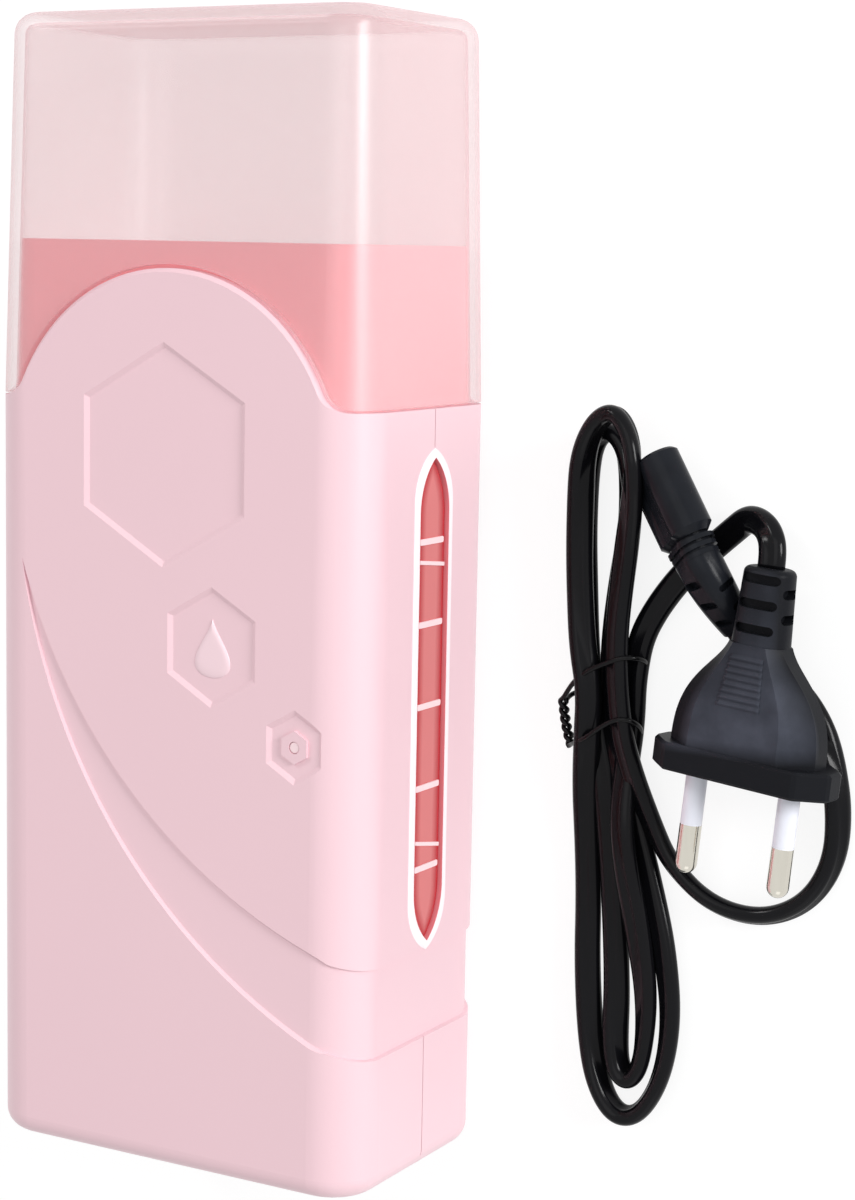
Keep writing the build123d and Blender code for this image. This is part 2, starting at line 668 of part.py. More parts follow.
CLIP_REACH = PLATE[0] / 2 - 3
CLIP_UP = PTC_UP - PTC[2] - INSULATION  # the clips press the sheet up against the heaters
CLIP_PLACES = [PTC_MIDDLE - PTC_SPACING / 2, PTC_MIDDLE + PTC_SPACING / 2]
with BuildPart() as heater_clips:
    with BuildSketch(level(CLIP_UP - CLIP)):
        with Locations(*[(0, height) for height in CLIP_PLACES]):
            Rectangle(2 * CLIP_REACH, CLIP_WIDTH)
    extrude(amount=CLIP)
    with BuildSketch(level(CLIP_UP)):
        for x in (-CLIP_REACH + CLIP / 2, CLIP_REACH - CLIP / 2):
            with Locations(*[(x, height) for height in CLIP_PLACES]):
                Rectangle(CLIP, CLIP_WIDTH)
    extrude(amount=WELL_UP - PTC_UP)
    with BuildSketch(across(0)):
        well_line(WELL_WALL + PLATE[2])
    extrude(amount=HEIGHT, mode=Mode.SUBTRACT)
finish("heater_clips", heater_clips.part)

with BuildPart() as thermal_fuse:
    with BuildSketch(across(FUSE_LOW)):
        with Locations((-WIRE_SIDE, DEPTH / 2 - WIRE_UP)):
            Circle(FUSE_RADIUS)
    extrude(amount=FUSE_LENGTH)
    chamfer(thermal_fuse.edges().filter_by(GeomType.CIRCLE), FUSE_RADIUS / 4)
    with BuildSketch(across(FUSE_LOW - FUSE_LEAD)):
        with Locations((-WIRE_SIDE, DEPTH / 2 - WIRE_UP)):
            Circle(LEAD_RADIUS)
    extrude(amount=FUSE_LENGTH + 2 * FUSE_LEAD)
finish("thermal_fuse", thermal_fuse.part)

# ---- Wires ----

def in_place(route):
    """A route of X, height and distance from the back, as points."""
    return [(x, height - HEIGHT / 2, up) for x, height, up in route]


PIN_END = INLET_LENGTH + PIN_TAIL  # height of the ends of the inlet's pins
LINK_LOW = FUSE_LOW + FUSE_LENGTH + FUSE_LEAD
WIRE_ROUTE = [
    (CONTACT_SPACING / 2, PIN_END, PART_UP),
    (CONTACT_SPACING / 2, PIN_END + 4.5, PART_UP),
    (8.0, PIN_END + 10.0, 16.0),
    (13.0, 39.5, 8.6),
]
UP_THE_BACK = [(WIRE_SIDE, 45.0, WIRE_UP), (WIRE_SIDE, FUSE_LOW - FUSE_LEAD, WIRE_UP)]
to_fuse = in_place([(-x, height, up) for x, height, up in WIRE_ROUTE + UP_THE_BACK])
to_heaters = in_place(WIRE_ROUTE + UP_THE_BACK + [(WIRE_SIDE, WIRE_TOP, WIRE_UP)])
link = in_place([(-WIRE_SIDE, LINK_LOW, WIRE_UP), (-WIRE_SIDE, WIRE_TOP, WIRE_UP)])
del to_heaters[-2]
finish("live_wire", tube(to_fuse, WIRE_RADIUS))
finish("neutral_wire", tube(to_heaters, WIRE_RADIUS))

with BuildPart() as heater_link:
    with BuildSketch(across(LINK_LOW)):
        with Locations((-WIRE_SIDE, DEPTH / 2 - WIRE_UP)):
            Circle(WIRE_RADIUS)
    extrude(amount=WIRE_TOP - LINK_LOW)
finish("heater_link", heater_link.part)

BOARD_UP = LED_UP - BOARD[2]
SIGNAL_ROUTES = (
    [
        (CONTACT_SPACING / 2 + 0.7, PIN_END - 2.5, PART_UP),
        (12.0, PIN_END - 1.5, PART_UP + 0.5),
        (BOARD_X + 0.8, 44.0, BOARD_UP - 4.1),
        (BOARD_X + 0.8, SMALL_HEX[1] - 6.9, BOARD_UP - 3.3),
        (BOARD_X + 0.8, SMALL_HEX[1] - 2.3, BOARD_UP),
    ],
    [
        (-CONTACT_SPACING / 2, PIN_END - 2.5, PART_UP + 0.8),
        (-CONTACT_SPACING / 2, PIN_END - 1.5, PART_UP + 5.9),
        (12.0, 34.0, BOARD_UP - 3.2),
        (26.0, 41.0, BOARD_UP - 2.7),
        (BOARD_X - 1.1, 54.0, BOARD_UP - 3.3),
        (BOARD_X - 1.1, SMALL_HEX[1] - 1.5, BOARD_UP - 3.3),
        (BOARD_X - 1.1, SMALL_HEX[1] + 2.5, BOARD_UP),
    ],
)
with BuildPart() as indicator_wires:
    for route in SIGNAL_ROUTES:
        add(tube(in_place(route), SIGNAL_RADIUS))
finish("indicator_wires", indicator_wires.part)

# ---- Indicator light ----

LEG_SPREAD = 0.9
with BuildPart() as led_board:
    with BuildSketch(level(LED_UP - BOARD[2])):
        with Locations((BOARD_X, SMALL_HEX[1])):
            Rectangle(*BOARD[:2])
        with Locations(*POST_PLACES):
            Circle(POST_RADIUS, mode=Mode.SUBTRACT)
        with Locations(*[(SMALL_HEX[0] + x, SMALL_HEX[1]) for x in (-LEG_SPREAD, LEG_SPREAD)]):
            Circle(LEAD_RADIUS, mode=Mode.SUBTRACT)
    extrude(amount=BOARD[2])
finish("led_board", led_board.part)

with BuildPart() as indicator_led:
    with BuildSketch(level(LED_UP)):
        with Locations(SMALL_HEX[:2]):
            Circle(LED_RADIUS)
    extrude(amount=LED_LENGTH - LED_RADIUS)
    with Locations(Plane(origin=(SMALL_HEX[0], SMALL_HEX[1] - HEIGHT / 2, LED_UP))):
        with Locations((0, 0, LED_LENGTH - LED_RADIUS)):
            Sphere(LED_RADIUS)
    with BuildSketch(level(LED_UP)):
        with Locations(*[(SMALL_HEX[0] + x, SMALL_HEX[1]) for x in (-LEG_SPREAD, LEG_SPREAD)]):
            Circle(LEAD_RADIUS)
    extrude(amount=-BOARD[2] - 0.8)
finish("indicator_led", indicator_led.part)

with BuildPart() as indicator_lens:
    with BuildSketch(level(DEPTH - SHELL)):
        with Locations(SMALL_HEX[:2]):
            Circle(LENS_FLANGE)
    extrude(amount=-0.8)
    with BuildSketch(level(DEPTH - SHELL)):
        with Locations(SMALL_HEX[:2]):
            Circle(LENS_RADIUS)
    extrude(amount=SHELL - 0.1)
    fillet(indicator_lens.edges().group_by(Axis.Z)[-1], 0.3)
finish("indicator_lens", indicator_lens.part)

# ---- Mains inlet ----

CONTACT_PLACES = [(-CONTACT_SPACING / 2, PARTING), (CONTACT_SPACING / 2, PARTING)]
with BuildPart() as inlet_socket:
    with BuildSketch(across(0.3)):
        with Locations((0, PARTING)):
            RectangleRounded(*INLET_BODY, 3.0)
    extrude(amount=INLET_LENGTH - 0.3)
    with BuildSketch(across(SHELL)):
        with Locations((0, PARTING)):
            RectangleRounded(*INLET_FLANGE, 2.0)
    extrude(amount=2.0)
    with BuildSketch(across(0)):
        with Locations((0, PARTING)):
            SlotOverall(INLET_WIDTH, INLET_DEPTH)
    extrude(amount=INLET_RECESS, mode=Mode.SUBTRACT)
    with BuildSketch(across(0)):
        with Locations(*CONTACT_PLACES):
            Circle(INLET_PIN_RADIUS)
    extrude(amount=INLET_LENGTH + 1, mode=Mode.SUBTRACT)
finish("inlet_socket", inlet_socket.part)

with BuildPart() as inlet_pins:
    with BuildSketch(across(INLET_RECESS - INLET_PIN)):
        with Locations(*CONTACT_PLACES):
            Circle(INLET_PIN_RADIUS)
    extrude(amount=INLET_PIN + INLET_LENGTH - INLET_RECESS + PIN_TAIL)
    fillet(inlet_pins.edges().group_by(Axis.Y)[0], 0.7)
finish("inlet_pins", inlet_pins.part)

# ---- Plug of the mains lead ----

turn, rise = radians(PLUG_TURN), radians(PLUG_RISE)
pins_point = Vector(-sin(turn) * cos(rise), -cos(turn) * cos(rise), sin(rise))
level_side = Vector(cos(turn), -sin(turn), 0)
roll = radians(PLUG_ROLL)
rolled_side = level_side * cos(roll) + pins_point.cross(level_side) * sin(roll)
PLUG = Plane(origin=PLUG_FACE, x_dir=rolled_side, z_dir=pins_point)


def hexagon(half_width, half_height, half_flat, half_end):
    """A plug's six-sided section with a flat top and bottom, narrow flat ends between bevels."""
    corners = []
    for x, y in ((half_width, half_end), (half_flat, half_height)):
        corners.append((x, y))
    outline = corners + [(-x, y) for x, y in corners[::-1]]
    outline += [(-x, -y) for x, y in corners] + [(x, -y) for x, y in corners[::-1]]
    return Polygon(*outline, align=None)


FAN = (  # distance behind the pin face, half width, half height, half flat, half end
    (5.0, 14.4, 6.2, 8.9, 2.1),
    (9.5, 14.1, 6.1, 8.7, 2.1),
    (13.5, 13.0, 5.8, 8.1, 2.0),
    (17.0, 11.0, 5.4, 6.8, 1.9),
    (20.5, 8.0, 4.9, 5.0, 1.9),
    (24.5, 5.2, 4.4, 3.2, 2.0),
)
with BuildPart() as plug_fan:
    for distance, *shape in FAN:
        with BuildSketch(PLUG.offset(-distance)):
            hexagon(*shape)
    loft()

with BuildPart() as plug_boot:
    with BuildSketch(PLUG.offset(-FAN[-1][0] + 1.5)):
        RectangleRounded(*BOOT, 4.0)
    with BuildSketch(PLUG.offset(-BOOT_END)):
        RectangleRounded(BOOT[0] - BOOT_TAPER[0], BOOT[1] - BOOT_TAPER[1], 3.6)
    loft()
    fillet(plug_boot.faces().sort_by(Axis.Y)[-1].edges(), 1.2)
    # slots: in turn through the top and bottom, and through the two sides
    for slot in range(5):
        middle = PLUG.offset(-BOOT_START - BOOT_SLOT / 2 - slot * BOOT_PITCH).origin
        outward, core = (PLUG.y_dir, BOOT_CORE[1]) if slot % 2 == 0 else (PLUG.x_dir, BOOT_CORE[0])
        for out in (outward, -outward):
            floor = middle + out * core / 2
            with BuildSketch(Plane(origin=floor, x_dir=PLUG.z_dir.cross(out), z_dir=out)):
                SlotOverall(BOOT_SLOTS[slot % 2], BOOT_SLOT)
            extrude(amount=4, mode=Mode.SUBTRACT)

with BuildPart() as plug_body:
    with BuildSketch(PLUG):
        hexagon(PLUG_WIDTH / 2, PLUG_THICK / 2, PLUG_FLAT / 2, PLUG_END / 2)
    extrude(amount=-PLUG_FLANGE)
    chamfer(plug_body.edges(), 0.5)
    add(plug_fan.part)
    add(plug_boot.part)
    with BuildSketch(PLUG):
        with Locations((-PIN_SPACING / 2, 0), (PIN_SPACING / 2, 0)):
            Circle(PIN_CORE)
    extrude(amount=-PIN_ROOT, mode=Mode.SUBTRACT)
finish("plug_body", plug_body.part)

with BuildPart() as plug_pins:
    with BuildSketch(PLUG.offset(-PIN_ROOT)):
        with Locations((-PIN_SPACING / 2, 0), (PIN_SPACING / 2, 0)):
            Circle(PIN_CORE)
    extrude(amount=PIN_ROOT + SLEEVE_LENGTH)
    for x in (-PIN_SPACING / 2, PIN_SPACING / 2):
        with Locations(PLUG.offset(SLEEVE_LENGTH)):
            with Locations((x, 0, 0)):
                Cylinder(
                    PIN_RADIUS,
                    PIN_LENGTH - SLEEVE_LENGTH - PIN_RADIUS,
                    align=(Align.CENTER, Align.CENTER, Align.MIN),
                )
        with Locations(PLUG.offset(PIN_LENGTH - PIN_RADIUS)):
            with Locations((x, 0, 0)):
                Sphere(PIN_RADIUS)
finish("plug_pins", plug_pins.part)

with BuildPart() as pin_sleeves:
    with BuildSketch(PLUG):
        with Locations((-PIN_SPACING / 2, 0), (PIN_SPACING / 2, 0)):
            Circle(SLEEVE_RADIUS)
            Circle(PIN_CORE, mode=Mode.SUBTRACT)
    extrude(amount=SLEEVE_LENGTH)
finish("pin_sleeves", pin_sleeves.part)

# ---- Connector of the mains lead ----

turn, rise = radians(CONNECTOR_TURN), radians(CONNECTOR_RISE)
front_point = Vector(-sin(turn) * cos(rise), cos(turn) * cos(rise), sin(rise))


def rolled(origin, along, degrees_over):
    """Plane across a direction, turned about it from level so that its right side rises."""
    to_left = Vector(0, 0, 1).cross(along).normalized()
    over = radians(degrees_over)
    return Plane(
        origin=origin,
        x_dir=to_left * cos(over) - along.cross(to_left) * sin(over),
        z_dir=along,
    )


CONNECTOR = rolled(CONNECTOR_FRONT, front_point, CONNECTOR_ROLL)
SOCKETS = [(-CONTACT_SPACING / 2, 0), (CONTACT_SPACING / 2, 0)]


def eight(width, height, waist):
    """A connector's outline: two circles side by side, with a straight waist between them."""
    reach = (width - height) / 2
    with Locations((-reach, 0), (reach, 0)):
        Circle(height / 2)
    Rectangle(2 * reach, waist)


boot_root = CONNECTOR.offset(-CONNECTOR_BODY - RINGS * RING_PITCH).origin
with BuildLine() as boot_line:
    boot_bend = Bezier(boot_root, boot_root - front_point * BOOT_BEND, CORD_END)


def boot_plane(part_way):
    """Plane across the connector's boot, part of the way from its root to its tip."""
    over = CONNECTOR_ROLL + (BOOT_TIP_ROLL - CONNECTOR_ROLL) * part_way
    return rolled(boot_bend @ part_way, -(boot_bend % part_way), over)


def boot_size(part_way):
    """Width and thickness of the connector's boot, part of the way to its tip."""
    return [root + (tip - root) * part_way**1.5 for root, tip in zip(BOOT_ROOT, BOOT_TIP)]


with BuildPart() as connector_boot:
    for part_way in (0, 0.34, 0.67, 1):
        with BuildSketch(boot_plane(part_way)):
            size = boot_size(part_way)
            RectangleRounded(*size, 0.44 * size[1])
    loft()
    for part_way in (0.22, 0.5, 0.78):
        plane, size = boot_plane(part_way), boot_size(part_way)
        for out in (plane.y_dir, -plane.y_dir):
            floor = plane.origin + out * (size[1] / 2 - CONNECTOR_SLOT[2])
            with BuildSketch(Plane(origin=floor, x_dir=plane.z_dir.cross(out), z_dir=out)):
                SlotOverall(CONNECTOR_SLOT[0] * size[0] / BOOT_ROOT[0], CONNECTOR_SLOT[1])
            extrude(amount=4, mode=Mode.SUBTRACT)
    for part_way in (0.36, 0.64):
        plane, size = boot_plane(part_way), boot_size(part_way)
        for out in (plane.x_dir, -plane.x_dir):
            floor = plane.origin + out * (size[0] / 2 - CONNECTOR_SLOT[2])
            with BuildSketch(Plane(origin=floor, x_dir=plane.z_dir.cross(out), z_dir=out)):
                SlotOverall(0.6 * size[1], 0.8 * CONNECTOR_SLOT[1])
            extrude(amount=4, mode=Mode.SUBTRACT)

with BuildPart() as connector_body:
    with BuildSketch(CONNECTOR):
        eight(CONNECTOR_WIDTH, CONNECTOR_THICK, CONNECTOR_THICK - 0.7)
    extrude(amount=-CONNECTOR_BODY)
    chamfer(connector_body.faces().sort_by(Axis.Y)[-1].edges(), 0.5)
    chamfer(connector_body.faces().sort_by(Axis.Y)[0].edges(), 1.2)
    for ring in range(RINGS):
        with BuildSketch(CONNECTOR.offset(-CONNECTOR_BODY - ring * RING_PITCH)):
            RectangleRounded(8.6, 6.2, 2.8)
        extrude(amount=-RING_PITCH)
        with BuildSketch(CONNECTOR.offset(-CONNECTOR_BODY - (ring + 0.4) * RING_PITCH)):
            RectangleRounded(10.8 - 0.5 * ring, 7.2 - 0.1 * ring, 3.2)
        extrude(amount=-0.6 * RING_PITCH)
    add(connector_boot.part)
    with BuildSketch(CONNECTOR):
        with Locations(*SOCKETS):
            Circle(SOCKET_RADIUS)
    extrude(amount=-SOCKET_SET_BACK - SOCKET_DEPTH, mode=Mode.SUBTRACT)
finish("connector_body", connector_body.part)

with BuildPart() as connector_contacts:
    with BuildSketch(CONNECTOR.offset(-SOCKET_SET_BACK - SOCKET_DEPTH)):
        with Locations(*SOCKETS):
            Circle(SOCKET_RADIUS)
            Circle(SOCKET_RADIUS - SOCKET_WALL, mode=Mode.SUBTRACT)
    extrude(amount=SOCKET_DEPTH)
finish("connector_contacts", connector_contacts.part)

# ---- Cord between the connector, the hank and the plug ----

boot_end = PLUG.offset(-BOOT_END).origin
boot_exit = PLUG.offset(-BOOT_END - EXIT_RUN).origin
ROUTE_IN += [tuple(boot_exit), tuple(boot_end)]


def cord(name, route):
    """A stretch of the flat cord, swept with its broad side level."""
    points = [Vector(*p) for p in route]
    radii = corner_radii(route)
    along = (points[1] - points[0]).normalized()
    start = Plane(origin=points[0], x_dir=along.cross(Vector(0, 0, 1)), z_dir=along)
    with BuildPart() as stretch:
        with BuildLine() as path:
            FilletPolyline(*points, radius=radii)
        with BuildSketch(start) as section:
            SlotOverall(CORD_WIDTH, CORD_THICK)
        sweep(path=path.line)
    length, area = sum(edge.length for edge in path.edges()), section.sketch.area
    print(name, "smallest radius", round(min(radii), 1), "length", round(length, 1))
    print(name, "volume", round(stretch.part.volume), "section by length", round(area * length))
    finish(name, stretch.part)
    return stretch.part


from_connector = cord("cord_from_connector", ROUTE_OUT)
to_plug = cord("cord_to_plug", ROUTE_IN)

# ---- Twist tie and hank ----

def tie_turn(y):
    """One turn of the tie round the bundle."""
    low, high = TIE_RADIUS + 0.05, TWO_LAYERS + TIE_RADIUS
    left, right = BUNDLE[0] - TIE_RADIUS, BUNDLE[1] + TIE_RADIUS
    with BuildPart() as ring:
        with BuildLine() as path:
            with BuildLine(Plane(origin=(0, y, 0), x_dir=(1, 0, 0), z_dir=(0, -1, 0))):
                box = Polyline((left, low), (right, low), (right, high), (left, high), close=True)
                fillet(box.vertices(), TIE_RADIUS + 0.3)
        with BuildSketch(Plane(origin=((left + right) / 2, y, low), z_dir=(1, 0, 0))):
            Circle(TIE_RADIUS)
        sweep(path=path.line)
    return ring.part


with BuildPart() as twist_tie:
    for y in TIE_TURNS:
        add(tie_turn(y))
    add(tube(TIE_TAIL, TIE_RADIUS))
finish("twist_tie", twist_tie.part)


def hull(circles):
    """The outline round circles given as X, Y and radius."""
    with BuildSketch() as outline:
        with BuildSketch() as drawn:
            for x, y, radius in circles:
                with Locations((x, y)):
                    Circle(radius)
        make_hull(drawn.edges())
    return outline.sketch


with BuildPart() as hank:
    with BuildSketch(Plane.XY.offset(0.05)):
        for circles in HANK_OUTLINES:
            add(hull(circles))
        for circles in HANK_HOLES:
            add(hull(circles), mode=Mode.SUBTRACT)
    extrude(amount=ONE_LAYER - 0.05)
    with BuildSketch(Plane.XY.offset(ONE_LAYER)):
        for circles in HANK_UPPER:
            add(hull(circles))
        for circles in HANK_HOLES:
            add(hull(circles), mode=Mode.SUBTRACT)
    extrude(amount=TWO_LAYERS - ONE_LAYER)
    # the tie passes under it in two grooves
    with BuildSketch(Plane.XY):
        with Locations(*[(66.3, y) for y in TIE_TURNS]):
            Rectangle(30, 2 * TIE_RADIUS)
    extrude(amount=2 * TIE_RADIUS + 0.05, mode=Mode.SUBTRACT)
    # the connector lies in a pocket in its side
    with BuildSketch(CONNECTOR.offset(POCKET)):
        RectangleRounded(CONNECTOR_WIDTH + 2 * POCKET, CONNECTOR_THICK + 2 * POCKET, CONNECTOR_THICK / 2)
    extrude(amount=-CONNECTOR_BODY, mode=Mode.SUBTRACT)
finish("cord_hank", hank.part)
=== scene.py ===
from math import cos, pi, radians, sin

import bpy
import numpy as np
from mathutils import Matrix


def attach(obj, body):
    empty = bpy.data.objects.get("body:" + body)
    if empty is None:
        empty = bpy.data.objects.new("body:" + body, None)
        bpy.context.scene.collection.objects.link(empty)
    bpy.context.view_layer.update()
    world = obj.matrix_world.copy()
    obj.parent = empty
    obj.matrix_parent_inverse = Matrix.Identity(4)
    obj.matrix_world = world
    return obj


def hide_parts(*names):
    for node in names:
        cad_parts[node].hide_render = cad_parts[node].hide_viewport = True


# Looks of a heater for roll-on wax cartridges that lies on its back beside its tied mains lead.
# Sizes are worked out in millimetres and go into the meshes in metres.

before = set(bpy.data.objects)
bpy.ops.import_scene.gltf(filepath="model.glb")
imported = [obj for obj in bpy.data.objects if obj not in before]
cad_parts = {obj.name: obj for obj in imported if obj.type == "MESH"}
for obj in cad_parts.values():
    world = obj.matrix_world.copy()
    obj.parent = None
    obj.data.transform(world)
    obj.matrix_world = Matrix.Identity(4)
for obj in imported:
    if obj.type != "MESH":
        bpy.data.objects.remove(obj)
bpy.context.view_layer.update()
MM = 0.001


# ---- Colours and materials ----

# A Mix node's colour sockets by their places, because its sockets for numbers and vectors have the
# same names.
MIX_FIRST, MIX_SECOND, MIX_RESULT = 6, 7, 2
GRAIN_STRENGTH = 0.6
PLASTIC_SPREAD, METAL_SPREAD = 0.04, 0.08  # by how much roughness goes up and down over a piece
PLASTIC_SMOOTHEST, METAL_SMOOTHEST = 0.02, 0.03
METAL_CLOUD = 0.05


def tint(red, green, blue):
    """A colour as it is seen, 0 to 255, turned into the linear values that a shader takes."""
    seen = np.array([red, green, blue]) / 255
    linear = np.where(seen <= 0.04045, seen / 12.92, ((seen + 0.055) / 1.055) ** 2.4)
    return (*linear, 1.0)


def new_material(name):
    """A node material, its tree and its shader."""
    material = bpy.data.materials.new(name)
    material.use_nodes = True
    return material, material.node_tree, material.node_tree.nodes["Principled BSDF"]


def mixed(tree, share, first, second):
    """A colour between two others, by a node's output. Each is a colour or a node's output."""
    mix = tree.nodes.new("ShaderNodeMix")
    mix.data_type = "RGBA"
    tree.links.new(share, mix.inputs["Factor"])
    for place, colour in ((MIX_FIRST, first), (MIX_SECOND, second)):
        if isinstance(colour, bpy.types.NodeSocket):
            tree.links.new(colour, mix.inputs[place])
        else:
            mix.inputs[place].default_value = colour
    return mix.outputs[MIX_RESULT]


def noise(tree, scale, detail, stretch=(1, 1, 1)):
    """Noise in the object's own coordinates, in waves per metre, drawn out along an axis."""
    nodes, links = tree.nodes, tree.links
    place = nodes.new("ShaderNodeTexCoord")
    turn = nodes.new("ShaderNodeMapping")
    turn.inputs["Scale"].default_value = stretch
    texture = nodes.new("ShaderNodeTexNoise")
    texture.inputs["Scale"].default_value = scale
    texture.inputs["Detail"].default_value = detail
    links.new(place.outputs["Object"], turn.inputs["Vector"])
    links.new(turn.outputs["Vector"], texture.inputs["Vector"])
    return texture.outputs["Fac"]


def ranged(tree, value, low, high, start=0.0, end=1.0):
    """A node's output carried over from start..end to low..high."""
    spread = tree.nodes.new("ShaderNodeMapRange")
    limits = {"From Min": start, "From Max": end, "To Min": low, "To Max": high}
    for socket, number in limits.items():
        spread.inputs[socket].default_value = number
    tree.links.new(value, spread.inputs["Value"])
    return spread.outputs["Result"]


def along(tree, axis):
    """One of the object's own coordinates, in metres."""
    place = tree.nodes.new("ShaderNodeTexCoord")
    apart = tree.nodes.new("ShaderNodeSeparateXYZ")
    tree.links.new(place.outputs["Object"], apart.inputs["Vector"])
    return apart.outputs[axis]


def worked(tree, operation, first, second=None):
    """One step of arithmetic on one or two values, each a node's output or a number."""
    node = tree.nodes.new("ShaderNodeMath")
    node.operation = operation
    for socket, value in zip(node.inputs, (first, second)):
        if isinstance(value, bpy.types.NodeSocket):
            tree.links.new(value, socket)
        elif value is not None:
            socket.default_value = value
    return node.outputs[0]


def clouded(tree, share, colour, cloud):
    """A colour that a node's output takes up and down by a share of itself."""
    base = np.array(colour[:3])
    dark, pale = base * (1 - cloud), np.minimum(base * (1 + cloud), 1)
    return mixed(tree, share, (*dark, 1), (*pale, 1))


def moulded(name, colour, rough, grain=2600, relief=0.000012, cloud=0.02, cloud_scale=26,
            paint=None, **sockets):
    """Moulded plastic: a fine spark-eroded grain as bump, broad faint clouds in the colour and in
    the gloss. grain and cloud_scale are in waves per metre, relief is the grain's height in metres,
    cloud the share by which the colour varies. paint lays other colours over part of it, and
    sockets are further values for the shader, each named with _ for a space."""
    material, tree, shader = new_material(name)
    bump = tree.nodes.new("ShaderNodeBump")
    bump.inputs["Strength"].default_value = GRAIN_STRENGTH
    bump.inputs["Distance"].default_value = relief
    tree.links.new(noise(tree, grain, 2), bump.inputs["Height"])
    tree.links.new(bump.outputs["Normal"], shader.inputs["Normal"])
    clouds = noise(tree, cloud_scale, 3)
    shades = clouded(tree, clouds, colour, cloud)
    if paint:
        shades = paint(tree, shades)
    tree.links.new(shades, shader.inputs["Base Color"])
    smoothest = max(rough - PLASTIC_SPREAD, PLASTIC_SMOOTHEST)
    gloss = ranged(tree, clouds, smoothest, rough + PLASTIC_SPREAD)
    tree.links.new(gloss, shader.inputs["Roughness"])
    for socket, value in sockets.items():
        shader.inputs[socket.replace("_", " ")].default_value = value
    return material


def metal(name, colour, rough, stretch=(1, 1, 1), scale=900):
    """Metal whose brushing or polish shows as noise in its colour and roughness, in waves per
    metre and drawn out along the axis that has a small stretch."""
    material, tree, shader = new_material(name)
    strokes = noise(tree, scale, 2, stretch)
    smoothest = max(rough - METAL_SPREAD, METAL_SMOOTHEST)
    gloss = ranged(tree, strokes, smoothest, rough + METAL_SPREAD)
    tree.links.new(gloss, shader.inputs["Roughness"])
    shades = clouded(tree, strokes, colour, METAL_CLOUD)
    tree.links.new(shades, shader.inputs["Base Color"])
    shader.inputs["Metallic"].default_value = 1.0
    return material


# Where each paint below sets in, from none to all of it, in metres.
# The beads round the windows get a painted highlight over this band
BEAD_TOPS = (0.04079, 0.04087)  # |X| of the beads round the windows, just proud of the casing
COLLAR_CORNERS = (0.0345, 0.0372)  # |X| over which the collar's corners turn to its sides
PANE_RIM = (0.0007, 0.0026)  # inside a pane's edge, over which its deeper colour fades out
WINDOW_WALL = (-0.00006, -0.00002)  # just outside the windows' outline: the casing's edge there
# The plug's top keeps a painted lit grey, and its flange and sides a painted shade
PLUG_LIT_HEIGHT = (0.0115, 0.0150)  # Z, from the lower edge of the plug's top bevels to its flat top
PLUG_LIT_BEHIND = (-0.0230, -0.0200)  # Y, from the back of the plug's flange

# The windows' outline, in metres: its middle in Y and Z, half its width and half its straight run,
# and the length of each pointed end. The panes are smaller by a groove all round.
WINDOW_MIDDLE = (-0.0172, 0.0240)
WINDOW_HALF, WINDOW_STRAIGHT, WINDOW_POINT = 0.00515, 0.0344, 0.0098
PANE_GROOVE = 0.0006


def beyond(tree, start, end):
    """From 0 to 1 with the distance from the middle to either side, |X|, between two places."""
    return ranged(tree, worked(tree, "ABSOLUTE", along(tree, "X")), 0, 1, start, end)


def inside_window(tree, groove):
    """How far a place on either side lies inside the windows' outline, less a groove, in metres:
    half less (R less the root of R squared less y squared), less the distance in Z from the
    middle. half is half the width, y the length past the straight run, and R, the radius of the
    arcs that meet in the points, is (half squared + point squared) / twice half."""
    half = WINDOW_HALF - groove
    radius = (half ** 2 + WINDOW_POINT ** 2) / (2 * half)
    lengthwise, sideways = (
        worked(tree, "ABSOLUTE", worked(tree, "SUBTRACT", along(tree, axis), middle))
        for axis, middle in zip("YZ", WINDOW_MIDDLE)
    )
    past = worked(tree, "SUBTRACT", lengthwise, WINDOW_STRAIGHT - groove)
    past = worked(tree, "MAXIMUM", past, 0.0)
    fall = worked(tree, "SUBTRACT", radius ** 2, worked(tree, "MULTIPLY", past, past))
    edge = worked(tree, "ADD", worked(tree, "SQRT", fall), half - radius)
    return worked(tree, "SUBTRACT", edge, sideways)


def bead_highlight_and_red_wall(tree, shades):
    """Painted highlight: the beads round both windows are painted paler than the casing, as if the
    lamps caught them. The casing's edge inside them is painted red like the pane beside it."""
    beads = mixed(tree, beyond(tree, *BEAD_TOPS), shades, BEAD_HIGHLIGHT)
    wall = ranged(tree, inside_window(tree, 0), 0, 1, *WINDOW_WALL)
    return mixed(tree, wall, beads, WALL_RED)


def pale_sides(tree, shades):
    """Light that comes in edgeways makes the collar's two sides paler than its front."""
    return mixed(tree, beyond(tree, *COLLAR_CORNERS), shades, LINER_PALE)


def deeper_rim(tree, shades):
    """A pane is painted a deeper red towards its edge and its points."""
    inner = ranged(tree, inside_window(tree, PANE_GROOVE), 0, 1, *PANE_RIM)
    return mixed(tree, inner, WINDOW_DEEP, shades)


def milky(material, facing, grazing):
    """A translucent wall lets less light through where it is seen at a slant: its opacity is
    facing + (grazing - facing) * the cube of the slant."""
    tree = material.node_tree
    slant = tree.nodes.new("ShaderNodeLayerWeight").outputs["Facing"]
    opacity = ranged(tree, worked(tree, "POWER", slant, 3), facing, grazing)
    tree.links.new(opacity, tree.nodes["Principled BSDF"].inputs["Alpha"])
    return material


def painted_plug_light_and_shade(tree, shades):
    """Painted light and shade on the plug: its raised top keeps the paler grey, painted as if lit,
    while its flange and its sides are painted near black as if in shade. The share of grey is one
    that grows with height times one that grows behind the flange."""
    high = ranged(tree, along(tree, "Z"), 0, 1, *PLUG_LIT_HEIGHT)
    behind = ranged(tree, along(tree, "Y"), 0, 1, *PLUG_LIT_BEHIND)
    return mixed(tree, worked(tree, "MULTIPLY", high, behind), PLUG_PAINTED_SHADE, shades)


